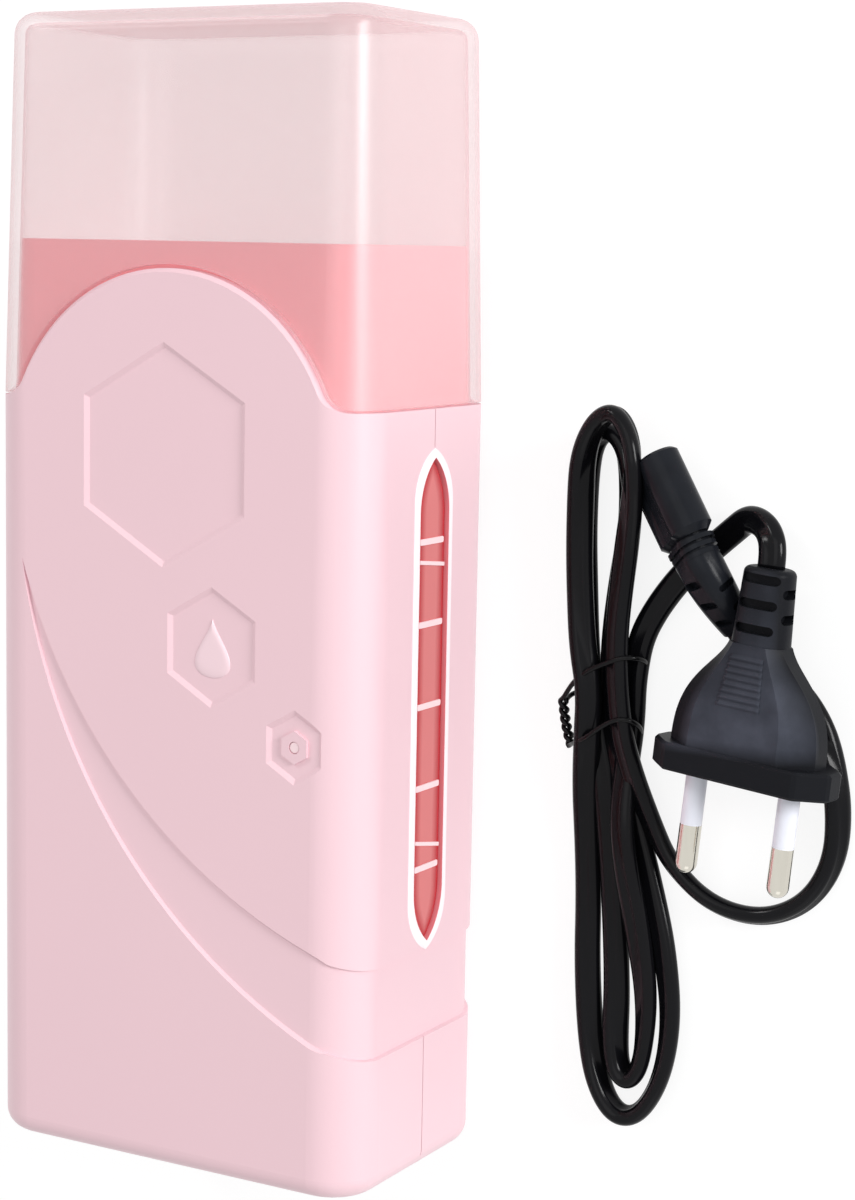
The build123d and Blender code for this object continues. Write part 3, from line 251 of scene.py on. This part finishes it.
# Colours, as they are seen
SHELL_PINK = tint(240, 204, 212)
# painted highlight on the beads round the windows
BEAD_HIGHLIGHT = tint(255, 246, 249)
# painted shade on the plug's flange and sides
PLUG_PAINTED_SHADE = tint(24, 25, 29)
LINER_PALE = tint(255, 198, 203)
WINDOW_RED = tint(215, 112, 112)
WINDOW_DEEP = tint(186, 26, 38)
WALL_RED = tint(250, 146, 154)

# The heater's outside
# The casing carries a painted highlight on the beads round its windows
shell_pink = moulded(
    "shell_pink", SHELL_PINK, 0.36, cloud=0.012, paint=bead_highlight_and_red_wall, Specular_IOR_Level=0.7
)
drop_pink = moulded("drop_pink", tint(248, 218, 225), 0.32, cloud=0.012)
lid_clear = milky(
    moulded("lid_clear", tint(240, 199, 203), 0.3, relief=0.000004, cloud=0.01, IOR=2.2),
    facing=0.2, grazing=0.75,
)
liner_rose = moulded("liner_rose", tint(252, 164, 170), 0.42, paint=pale_sides)
window_red = moulded("window_red", WINDOW_RED, 0.22, relief=0.000003, paint=deeper_rim)
mark_white = moulded("mark_white", tint(252, 222, 226), 0.45)
lens_clear = moulded("lens_clear", tint(250, 222, 226), 0.15, relief=0.000002)
inlet_black = moulded("inlet_black", tint(30, 30, 33), 0.45)

# The lead
# The plug's top is painted lit grey, and its flange and sides are painted in shade
plug_black = moulded(
    "plug_black", tint(66, 69, 79), 0.42, relief=0.00003, cloud=0.6, cloud_scale=160,
    paint=painted_plug_light_and_shade, Specular_IOR_Level=0.07,
)
connector_black = moulded(
    "connector_black", tint(27, 29, 34), 0.24, cloud=0.4, cloud_scale=160, Specular_IOR_Level=0.09
)
cord_black = moulded(
    "cord_black", tint(14, 14, 17), 0.17, grain=1800, relief=0.00001, Specular_IOR_Level=0.13
)
tie_black = moulded("tie_black", tint(10, 10, 12), 0.25, Specular_IOR_Level=0.15)
sleeve_white = moulded("sleeve_white", tint(236, 238, 248), 0.35)
pin_metal = metal("pin_metal", tint(212, 208, 197), 0.16, stretch=(1, 0.1, 1))
contact_brass = metal("contact_brass", tint(214, 184, 112), 0.3)

# The heater's inside
wire_brown = moulded("wire_brown", tint(98, 58, 34), 0.4)
wire_blue = moulded("wire_blue", tint(46, 92, 176), 0.4)
wire_white = moulded("wire_white", tint(226, 226, 222), 0.4)
insulation_film = moulded("insulation_film", tint(186, 128, 44), 0.25)
fuse_body = moulded("fuse_body", tint(222, 222, 216), 0.5)
board_green = moulded("board_green", tint(40, 112, 62), 0.35, grain=700)
led_red = moulded("led_red", tint(214, 44, 40), 0.12, relief=0.000002)
spreader_aluminium = metal("spreader_aluminium", tint(206, 208, 210), 0.36, stretch=(1, 0.05, 1))
heater_case = metal("heater_case", tint(196, 198, 202), 0.42)
clip_steel = metal("clip_steel", tint(178, 180, 184), 0.34, stretch=(0.05, 1, 1))
screw_steel = metal("screw_steel", tint(186, 186, 184), 0.32)

# The material of each CAD node
FINISHES = {
    "front_shell": shell_pink, "back_shell": shell_pink, "lid": lid_clear, "liner": liner_rose,
    "window_right": window_red, "window_left": window_red,
    "marks_right": mark_white, "marks_left": mark_white,
    "shell_screws": screw_steel, "heat_spreader": spreader_aluminium,
    "heater_lower": heater_case, "heater_upper": heater_case, "insulation": insulation_film,
    "heater_clips": clip_steel, "thermal_fuse": fuse_body,
    "live_wire": wire_brown, "heater_link": wire_brown, "neutral_wire": wire_blue,
    "indicator_wires": wire_white, "led_board": board_green,
    "indicator_led": led_red, "indicator_lens": lens_clear,
    "inlet_socket": inlet_black, "inlet_pins": pin_metal,
    "connector_body": connector_black, "connector_contacts": contact_brass,
    "cord_from_connector": cord_black, "cord_hank": cord_black, "cord_to_plug": cord_black,
    "plug_body": plug_black, "plug_pins": pin_metal, "pin_sleeves": sleeve_white,
    "twist_tie": tie_black,
}
for node, material in FINISHES.items():
    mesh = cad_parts[node].data
    mesh.materials.clear()
    mesh.materials.append(material)


# ---- Making meshes, in millimetres ----

ROUTE_STEPS = 10  # along a smooth curve, from one control point to the next
SAME_PLACE = 0.001


def piece(name, body, points, faces, material):
    """A new smooth mesh from points in millimetres and its faces, which rides on a body."""
    mesh = bpy.data.meshes.new(name)
    mesh.from_pydata((np.asarray(points, float).reshape(-1, 3) * MM).tolist(), [], faces)
    mesh.polygons.foreach_set("use_smooth", [True] * len(mesh.polygons))
    mesh.materials.append(material)
    mesh.validate()
    made = bpy.data.objects.new(name, mesh)
    bpy.context.scene.collection.objects.link(made)
    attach(made, body)
    return made


def closed_rings(rings):
    """Faces of a closed skin: four-sided ones between the rings of a grid, whose last column joins
    its first, and one face at each end. rings has rows, columns and X, Y, Z."""
    rows, columns = rings.shape[:2]
    row, column = np.meshgrid(np.arange(rows - 1), np.arange(columns), indexing="ij")
    beside = (column + 1) % columns
    corners = [row * columns + column, row * columns + beside,
               (row + 1) * columns + beside, (row + 1) * columns + column]
    faces = np.stack(corners, -1).reshape(-1, 4).tolist()
    first = list(range(columns))[::-1]
    last = list(range((rows - 1) * columns, rows * columns))
    return faces + [first, last]


def carried(path, across, upward, outline):
    """A closed outline carried along a path: point = path + across * x + upward * y, for each x, y
    of the outline. across and upward have one direction for each point of the path."""
    x, y = outline[None, :, 0, None], outline[None, :, 1, None]
    return path[:, None] + across[:, None] * x + upward[:, None] * y


def headings(path):
    """The unit direction of a path at each of its points, from its two neighbours."""
    ahead = np.gradient(path, axis=0)
    return ahead / np.linalg.norm(ahead, axis=1, keepdims=True)


def square_to(ahead, outward):
    """For each heading, the unit direction across, which is square to it and to outward, and the
    one upward, which is square to the heading and across."""
    across = np.cross(ahead, outward)
    across /= np.linalg.norm(across, axis=1, keepdims=True)
    return across, np.cross(across, ahead)


def smooth_route(points):
    """The points along a smooth curve of third order, with the given points as its control
    points, and without the doubles where the curve starts or ends."""
    line = bpy.data.curves.new("smooth_line", "CURVE")
    line.dimensions = "3D"
    line.resolution_u = ROUTE_STEPS
    spline = line.splines.new("NURBS")
    spline.points.add(len(points) - 1)
    for control, (x, y, z) in zip(spline.points, points):
        control.co = (x * MM, y * MM, z * MM, 1)
    spline.order_u = 3
    spline.use_endpoint_u = True
    holder = bpy.data.objects.new("smooth_line", line)
    run = bpy.data.meshes.new_from_object(holder)
    found = np.zeros(len(run.vertices) * 3)
    run.vertices.foreach_get("co", found)
    bpy.data.objects.remove(holder)
    found = found.reshape(-1, 3) / MM
    steps = np.linalg.norm(np.diff(found, axis=0), axis=1)
    return found[np.r_[True, steps > SAME_PLACE]]


# ---- Raised work: the wax drop on the face, and the grip on the plug ----

RELIEF_RINGS = 14
RELIEF_LAST = 0.01  # size of its last ring, as a share of the outline
RELIEF_ROUND = 8  # the higher this power, the flatter its top and the tighter its edge


def low_relief(outline, height, sunk):
    """A low raised shape over a closed outline. A ring r from 1 to nearly 0 is the outline shrunk
    towards its middle to r of its size, and it stands height * (1 - r to the 8th) high. The first
    ring is sunk below the surface that carries the shape."""
    middle = outline.mean(axis=0)
    r = np.r_[1, np.sqrt(np.linspace(1, RELIEF_LAST ** 2, RELIEF_RINGS))][:, None]
    flat = middle + (outline - middle)[None] * r[:, :, None]
    up = height * (1 - r ** RELIEF_ROUND) * np.ones(len(outline))
    up[0] = -sunk
    return np.concatenate([flat, up[:, :, None]], axis=2)


DROP_PLACE = (10.1, -7.2, 48.6)  # on the floor of the middle hexagon
DROP_SIZE = (7.6, 10.8)
DROP_HEIGHT, DROP_SUNK = 0.35, 0.1
DROP_WIDEST = 1.3  # width of its curve before it is scaled
DROP_POINTS = 72


def make_drop():
    """A drop of wax in low relief, point upwards: x = sin a * sin squared (a / 2), y = cos a,
    each scaled to the drop's size."""
    a = np.linspace(0, 2 * pi, DROP_POINTS, endpoint=False)
    outline = np.stack([
        DROP_SIZE[0] / DROP_WIDEST * np.sin(a) * np.sin(a / 2) ** 2,
        DROP_SIZE[1] / 2 * np.cos(a),
    ], 1)
    rings = low_relief(outline[::-1], DROP_HEIGHT, DROP_SUNK) + np.array(DROP_PLACE)
    piece("wax_drop", "heater", rings, closed_rings(rings), drop_pink)


PLUG_FACE = (95.9, -27.6, 9.25)  # centre of the face that carries the pins
PLUG_TURN, PLUG_RISE, PLUG_ROLL = radians(5.0), radians(1.5), radians(6.5)
# The plug's tapering body: distances behind its face, and its half height there
FAN_BEHIND, FAN_HALF = (13.5, 17.0, 20.5, 24.5), (5.8, 5.4, 4.9, 4.4)
GRIP_FROM, GRIP_TO = 13.2, 22.6  # behind the face
GRIP_HALF_WIDTH = 4.3
GRIP_NARROWING = 0.25  # share of its width that it loses towards the cord
GRIP_RIBS = 8
GRIP_HEIGHT, GRIP_SKIRT = 0.3, 0.4  # above and below the plug's top
GRIP_ROWS, GRIP_COLUMNS = 12, 13  # rows for each rib, and points from side to side


def plug_axes():
    """Unit directions of the plug: across it, up out of its top, and out along its pins."""
    pins = np.array([-sin(PLUG_TURN) * cos(PLUG_RISE), -cos(PLUG_TURN) * cos(PLUG_RISE),
                     sin(PLUG_RISE)])
    level = np.array([cos(PLUG_TURN), -sin(PLUG_TURN), 0])
    across = level * cos(PLUG_ROLL) + np.cross(pins, level) * sin(PLUG_ROLL)
    return across, np.cross(pins, across), pins


def make_grip():
    """A ribbed thumb rest on the plug's sloping top. Column by column it runs from side to side,
    row by row along the plug. With v from 0 to 1 along it, its height is that of the top plus
    height * (0.5 - 0.5 * cos(2 pi * ribs * v)), and its width shrinks by narrowing * v. A skirt
    closes it below the top."""
    v = np.linspace(0, 1, GRIP_RIBS * GRIP_ROWS + 1)
    distance = GRIP_FROM + (GRIP_TO - GRIP_FROM) * v
    side = GRIP_HALF_WIDTH * np.linspace(-1, 1, GRIP_COLUMNS)
    top = np.interp(distance, FAN_BEHIND, FAN_HALF)
    waves = 0.5 - 0.5 * np.cos(2 * pi * GRIP_RIBS * v)
    high = (top + GRIP_HEIGHT * waves)[:, None] * np.ones(len(side))
    skirt = (top - GRIP_SKIRT)[:, None] * np.ones(len(side))
    x = np.concatenate([side, side[::-1]])[None] * (1 - GRIP_NARROWING * v)[:, None]
    y = np.concatenate([high, skirt], axis=1)
    across, upward, pins = plug_axes()
    rings = (np.array(PLUG_FACE) - pins * distance[:, None, None]
             + across * x[:, :, None] + upward * y[:, :, None])
    return piece("plug_grip", "mains_lead", rings, closed_rings(rings), plug_black)


make_drop()
plug_grip = make_grip()


# ---- Twist tie: one wire, twice round the bundle, its two ends twisted together on the left ----

TIE_WIRE = 0.46  # radius
TIE_SIDES = 12
TWIST_REACH = 0.56  # from the middle of the twisted pair to each strand
TWIST_PITCH = 3.3
TWIST_POINTS = 60
BUNDLE_MIDDLE = (65.5, 3.7)  # X and Z
TWIST_LINE = [(57.4, -18.1, 3.6), (57.5, -21.3, 3.0), (58.0, -24.6, 2.4), (58.5, -26.6, 2.0)]
UPPER_TURN = [
    (57.7, -17.6, 4.2), (58.9, -15.9, 4.8), (60.7, -13.9, 6.0), (63.4, -11.8, 7.1),
    (66.1, -10.4, 7.3), (68.8, -9.2, 7.3), (70.7, -8.5, 7.0), (73.0, -8.5, 5.6),
    (73.6, -9.6, 2.4), (71.6, -11.6, 0.55), (66.0, -14.0, 0.55), (60.0, -16.4, 0.55),
    (57.6, -17.3, 1.4),
]
LOWER_TURN = [
    (58.8, -26.3, 2.8), (60.2, -25.6, 4.4), (62.0, -24.9, 6.0), (64.6, -23.3, 7.0),
    (67.2, -21.3, 7.3), (69.4, -20.0, 7.3), (71.5, -19.6, 7.1), (73.1, -20.3, 5.8),
    (73.2, -22.1, 3.0), (71.6, -24.2, 0.6), (67.0, -25.4, 0.55),
]


def twisted_strand(phase):
    """One strand of the twisted pair: the pair's line plus a circle that turns once a pitch,
    line + reach * (cos(turn) * across + sin(turn) * upward)."""
    line = smooth_route(TWIST_LINE)
    gone = np.r_[0, np.cumsum(np.linalg.norm(np.diff(line, axis=0), axis=1))]
    fine = np.linspace(0, gone[-1], TWIST_POINTS)
    line = np.stack([np.interp(fine, gone, line[:, axis]) for axis in range(3)], 1)
    across, upward = square_to(headings(line), [0, 0, 1])
    turn = (2 * pi * fine / TWIST_PITCH + phase)[:, None]
    return line + TWIST_REACH * (np.cos(turn) * across + np.sin(turn) * upward)


def make_tie():
    """A round wire along one path: up one strand of the twisted pair, round the bundle, down the
    other strand and round the bundle again. At each point it is a circle of TIE_WIRE across the
    path, and its upward direction points away from the bundle's middle."""
    rising, falling = twisted_strand(0)[::-1], twisted_strand(pi)
    upper = smooth_route([tuple(rising[-1]), *UPPER_TURN, tuple(falling[0])])
    lower = smooth_route([tuple(falling[-1]), *LOWER_TURN])
    path = np.concatenate([rising, upper[1:-1], falling, lower[1:]])
    outward = path - np.array([BUNDLE_MIDDLE[0], 0, BUNDLE_MIDDLE[1]])
    outward[:, 1] = 0
    across, upward = square_to(headings(path), outward)
    a = np.linspace(0, 2 * pi, TIE_SIDES, endpoint=False)
    rings = carried(path, across, upward, TIE_WIRE * np.stack([np.cos(a), np.sin(a)], 1))
    wire = piece("tie_wire", "mains_lead", rings, closed_rings(rings), tie_black)
    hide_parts("twist_tie")
    return wire


tie_wire = make_tie()


# ---- Cord: one flat twin cord from the connector, through the tied hank, to the plug ----

LOW, HIGH = 1.72, 4.95  # heights of its centreline on the table, and on another strand

LEAD_ROUTE = [
    # out of the connector, under the plug and round in front of it
    (91.4, -1.6, 3.4), (93.4, -5.9, LOW), (98.6, -9.6, LOW), (104.2, -13.6, LOW),
    (108.8, -21.2, LOW), (111.3, -31.4, LOW), (111.0, -41.6, LOW), (106.2, -49.8, LOW),
    (97.6, -53.9, LOW), (87.6, -52.6, LOW), (79.6, -46.4, LOW), (75.4, -38.6, 2.4),
    (72.4, -30.5, 4.2), (70.2, -22.6, HIGH),
    # upper loop at the top, over the connector's lower lobe
    (69.0, -14.0, HIGH), (68.6, -5.0, HIGH), (69.4, 4.0, 5.2), (70.8, 12.0, 6.4),
    (72.4, 18.6, 8.2), (73.5, 25.0, 9.8), (72.6, 31.6, 9.2), (69.0, 36.0, 8.0),
    (64.8, 34.2, 7.0), (61.6, 28.0, 6.0), (60.7, 19.0, HIGH), (60.6, 10.0, HIGH),
    (61.0, 2.0, HIGH), (61.8, -7.0, HIGH), (63.6, -15.6, HIGH),
    # outer loop at the bottom
    (63.0, -24.0, 4.4), (62.0, -33.0, 2.6), (62.2, -43.0, LOW), (62.8, -55.0, LOW),
    (62.9, -67.0, LOW), (63.9, -79.0, LOW), (66.0, -89.6, LOW), (70.0, -95.4, LOW),
    (75.0, -94.4, LOW), (79.2, -86.6, LOW), (80.6, -75.4, LOW), (78.8, -63.0, LOW),
    (75.6, -52.0, LOW), (71.9, -40.4, LOW), (68.4, -29.0, LOW), (66.6, -19.0, LOW),
    (66.2, -8.0, LOW),
    # lower loop at the top
    (67.6, 4.8, LOW), (69.1, 14.0, LOW), (68.9, 22.6, LOW), (67.9, 29.0, LOW),
    (64.8, 32.2, LOW), (61.6, 30.0, LOW), (60.2, 23.4, LOW), (59.8, 13.6, LOW),
    (60.3, 3.6, LOW), (60.9, -6.8, LOW), (61.9, -16.0, LOW),
    # inner loop at the bottom
    (63.8, -24.6, LOW), (66.0, -34.0, LOW), (67.2, -45.0, LOW), (68.4, -59.0, LOW),
    (69.2, -71.0, LOW), (69.3, -80.6, LOW), (70.2, -86.6, LOW), (72.9, -88.2, LOW),
    (75.2, -83.8, LOW), (75.6, -72.0, 2.0), (74.0, -60.0, 3.4), (71.9, -48.6, HIGH),
    (70.5, -39.0, HIGH), (70.4, -29.6, 3.2), (70.8, -20.4, LOW), (71.0, -12.0, LOW),
    # up to the plug's boot
    (71.8, -5.6, LOW), (75.0, 0.6, LOW), (79.9, 7.0, LOW), (84.9, 11.6, LOW),
    (89.2, 15.4, LOW), (92.1, 17.7, 2.6), (95.1, 17.8, 4.6), (97.9, 16.4, 6.6),
    (99.5, 13.45, 8.17), (99.21, 10.24, 8.26),
]

CORD_WIDTH, CORD_THICK = 5.0, 3.2
CORD_WAIST = 1.2  # half its height between its two cores
CORD_POINTS = 36  # round its outline
CORE_SPREAD = 0.35  # the smaller this power, the more of the outline's points lie on the cores
DIP_WIDTH = 0.42  # of the dip between the cores, as a share of their distance from the middle
EDGE_BEND = 40.0  # where it bends to this radius, the cord leans halfway to its edge
EVEN = 34.0  # length of cord over which its lean is evened out
EVEN_STEPS = 1400  # along the whole cord, while its lean is evened out
# It lies flat up to the first distance from each end, and leans in full from the second
LEVEL_START, LEVEL_END = (18, 34), (46, 60)


def twin_outline():
    """Outline of a flat twin cord, two round cores of radius r that lie a reach to either side of
    the middle. At an angle a, x = r cos a + reach * the sign of cos a * |cos a| to the power of
    CORE_SPREAD, and y = r sin a, less a dip in both faces: (r - waist) * e to the power of minus
    (x / (DIP_WIDTH * reach)) squared."""
    a = np.linspace(0, 2 * pi, CORD_POINTS, endpoint=False)
    radius, reach = CORD_THICK / 2, (CORD_WIDTH - CORD_THICK) / 2
    x = radius * np.cos(a) + reach * np.sign(np.cos(a)) * np.abs(np.cos(a)) ** CORE_SPREAD
    dip = np.exp(-(x / (DIP_WIDTH * reach)) ** 2) * (radius - CORD_WAIST)
    y = np.sin(a) * radius - np.sign(np.sin(a)) * dip
    return np.stack([x, y], 1)


def smooth_step(share):
    """From 0 to 1 with a level start and end: 3 s squared - 2 s cubed."""
    share = np.clip(share, 0, 1)
    return share ** 2 * (3 - 2 * share)


def lean(path):
    """How far the cord leans from flat to its edge at each point, 0 to a quarter turn. A flat cord
    bends over its thin side, so where it bends in plan it stands up. With b the turn of its
    heading per millimetre times EDGE_BEND, the lean is a smooth step of b / (1 + b), evened out
    along the cord, and it is none at the two boots."""
    gone = np.r_[0, np.cumsum(np.linalg.norm(np.diff(path, axis=0), axis=1))]
    ahead = headings(path)
    bearing = np.unwrap(np.arctan2(ahead[:, 1], ahead[:, 0]))
    bend = np.abs(np.gradient(bearing, gone)) * EDGE_BEND
    even = np.linspace(0, gone[-1], EVEN_STEPS)
    share = np.interp(even, gone, smooth_step(bend / (1 + bend)))
    window = np.hanning(round(EVEN / even[1]))
    reach = len(window)
    share = np.convolve(np.pad(share, reach, "edge"), window / window.sum(), "same")[reach:-reach]
    share = np.interp(gone, even, share)
    from_start = (gone - LEVEL_START[0]) / (LEVEL_START[1] - LEVEL_START[0])
    from_end = (gone[-1] - gone - LEVEL_END[0]) / (LEVEL_END[1] - LEVEL_END[0])
    return pi / 2 * share * smooth_step(from_start) * smooth_step(from_end)


def make_cord():
    """The cord's outline carried along its route, turned by its lean and lifted by as much as the
    leaning outline is higher than the flat one: half of width less thickness, times sin lean."""
    path = smooth_route(LEAD_ROUTE)
    turn = lean(path)[:, None]
    path[:, 2] += (CORD_WIDTH - CORD_THICK) / 2 * np.sin(turn[:, 0])
    flat, square = square_to(headings(path), [0, 0, 1])
    across = np.cos(turn) * flat + np.sin(turn) * square
    upward = np.cos(turn) * square - np.sin(turn) * flat
    rings = carried(path, across, upward, twin_outline())
    faces = closed_rings(rings)
    cord = piece("mains_cord", "mains_lead", rings, faces, cord_black)
    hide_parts("cord_from_connector", "cord_hank", "cord_to_plug")


make_cord()


# ---- Camera ----

CAMERA_PLACE = (268.72, 65.06, 428.42)
CAMERA_YAW, CAMERA_PITCH, CAMERA_ROLL = radians(29.51), radians(7.815), radians(1.091)
CAMERA_LENS, CAMERA_SENSOR = 78.325, 36  # in millimetres, as on a real one


def place_camera():
    """A long lens above the face's upper right, turned to the left and slightly down."""
    yaw, pitch, roll = CAMERA_YAW, CAMERA_PITCH, CAMERA_ROLL
    ahead = np.array([-sin(yaw) * cos(pitch), -sin(pitch), -cos(yaw) * cos(pitch)])
    aside = np.array([cos(yaw), 0, -sin(yaw)])
    over = np.cross(aside, ahead)
    right = cos(roll) * aside + sin(roll) * over
    top = -sin(roll) * aside + cos(roll) * over
    lens = bpy.data.cameras.new("camera")
    lens.lens = CAMERA_LENS
    lens.sensor_width = CAMERA_SENSOR
    lens.clip_start, lens.clip_end = 0.01, 20
    camera = bpy.data.objects.new("camera", lens)
    bpy.context.scene.collection.objects.link(camera)
    turned = np.eye(4)
    turned[:3, :3] = np.stack([right, top, -ahead], 1)
    turned[:3, 3] = np.array(CAMERA_PLACE) * MM
    camera.matrix_world = Matrix(turned.tolist())
    bpy.context.scene.camera = camera


place_camera()


# ---- Floor, world and lamps, in metres ----

FLOOR_REACH = 6
FLOOR_WHITE = 0.94  # of its matt part
FLOOR_EVEN = 1.08  # strength of its even part
LAMP_TOP = (0, 1, 0.01)  # the way that a lamp's upper edge points, and no lamp shines


def shown_rays(tree):
    """1 for rays from the camera, off gloss and through glass, else 0."""
    ray = tree.nodes.new("ShaderNodeLightPath").outputs
    seen = worked(tree, "MAXIMUM", ray["Is Camera Ray"], ray["Is Glossy Ray"])
    return worked(tree, "MAXIMUM", seen, ray["Is Transmission Ray"])


def make_floor(share):
    """A level white sheet: part plain matt, which keeps the shadow, and a share of even white,
    which only shown rays meet."""
    mesh = bpy.data.meshes.new("floor")
    far = FLOOR_REACH
    corners = [(-far, -far, 0), (far, -far, 0), (far, far, 0), (-far, far, 0)]
    mesh.from_pydata(corners, [], [(0, 1, 2, 3)])
    floor = bpy.data.objects.new("floor", mesh)
    bpy.context.scene.collection.objects.link(floor)
    material, tree, shader = new_material("floor_white")
    shader.inputs["Base Color"].default_value = (FLOOR_WHITE, FLOOR_WHITE, FLOOR_WHITE, 1)
    shader.inputs["Roughness"].default_value = 1
    shader.inputs["Specular IOR Level"].default_value = 0
    even = tree.nodes.new("ShaderNodeEmission")
    even.inputs["Strength"].default_value = FLOOR_EVEN
    blend = tree.nodes.new("ShaderNodeMixShader")
    tree.links.new(ranged(tree, shown_rays(tree), 0, share), blend.inputs[0])
    tree.links.new(shader.outputs[0], blend.inputs[1])
    tree.links.new(even.outputs[0], blend.inputs[2])
    tree.links.new(blend.outputs[0], tree.nodes["Material Output"].inputs["Surface"])
    mesh.materials.append(material)


def make_world(level):
    """An even white surround: it lights the object at a level, and is full white where it is
    seen."""
    world = bpy.data.worlds.new("surround")
    bpy.context.scene.world = world
    world.use_nodes = True
    tree = world.node_tree
    background = tree.nodes["Background"]
    background.inputs["Color"].default_value = (1, 1, 1, 1)
    tree.links.new(ranged(tree, shown_rays(tree), level, 1), background.inputs["Strength"])


def lamp(name, at, aim, size, power):
    """A square soft lamp of a size and a power in watts at a point, aimed at another point."""
    light = bpy.data.lights.new(name, "AREA")
    light.shape = "SQUARE"
    light.size = size
    light.energy = power
    holder = bpy.data.objects.new(name, light)
    bpy.context.scene.collection.objects.link(holder)
    away = np.array(at, float) - np.array(aim, float)
    away /= np.linalg.norm(away)
    aside = np.cross(LAMP_TOP, away)
    aside /= np.linalg.norm(aside)
    turned = np.eye(4)
    turned[:3, :3] = np.stack([aside, np.cross(away, aside), away], 1)
    turned[:3, 3] = at
    holder.matrix_world = Matrix(turned.tolist())


make_floor(share=0.8)
make_world(level=0.5)
lamp("side_lamp", at=(1.4, 0.45, 0.48), aim=(0.03, 0.0, 0.02), size=0.5, power=15.0)
lamp("top_lamp", at=(0.2, 0.5, 1.5), aim=(0.0, 0.0, 0.03), size=1.2, power=4.0)
lamp("foot_lamp", at=(0.5, -1.2, 0.7), aim=(0.0, 0.0, 0.03), size=0.8, power=0.8)
lamp("back_lamp", at=(-0.84, 1.0, 0.92), aim=(0.0, 0.1, 0.05), size=0.3, power=4.5)
bpy.context.scene.view_settings.view_transform = "Standard"
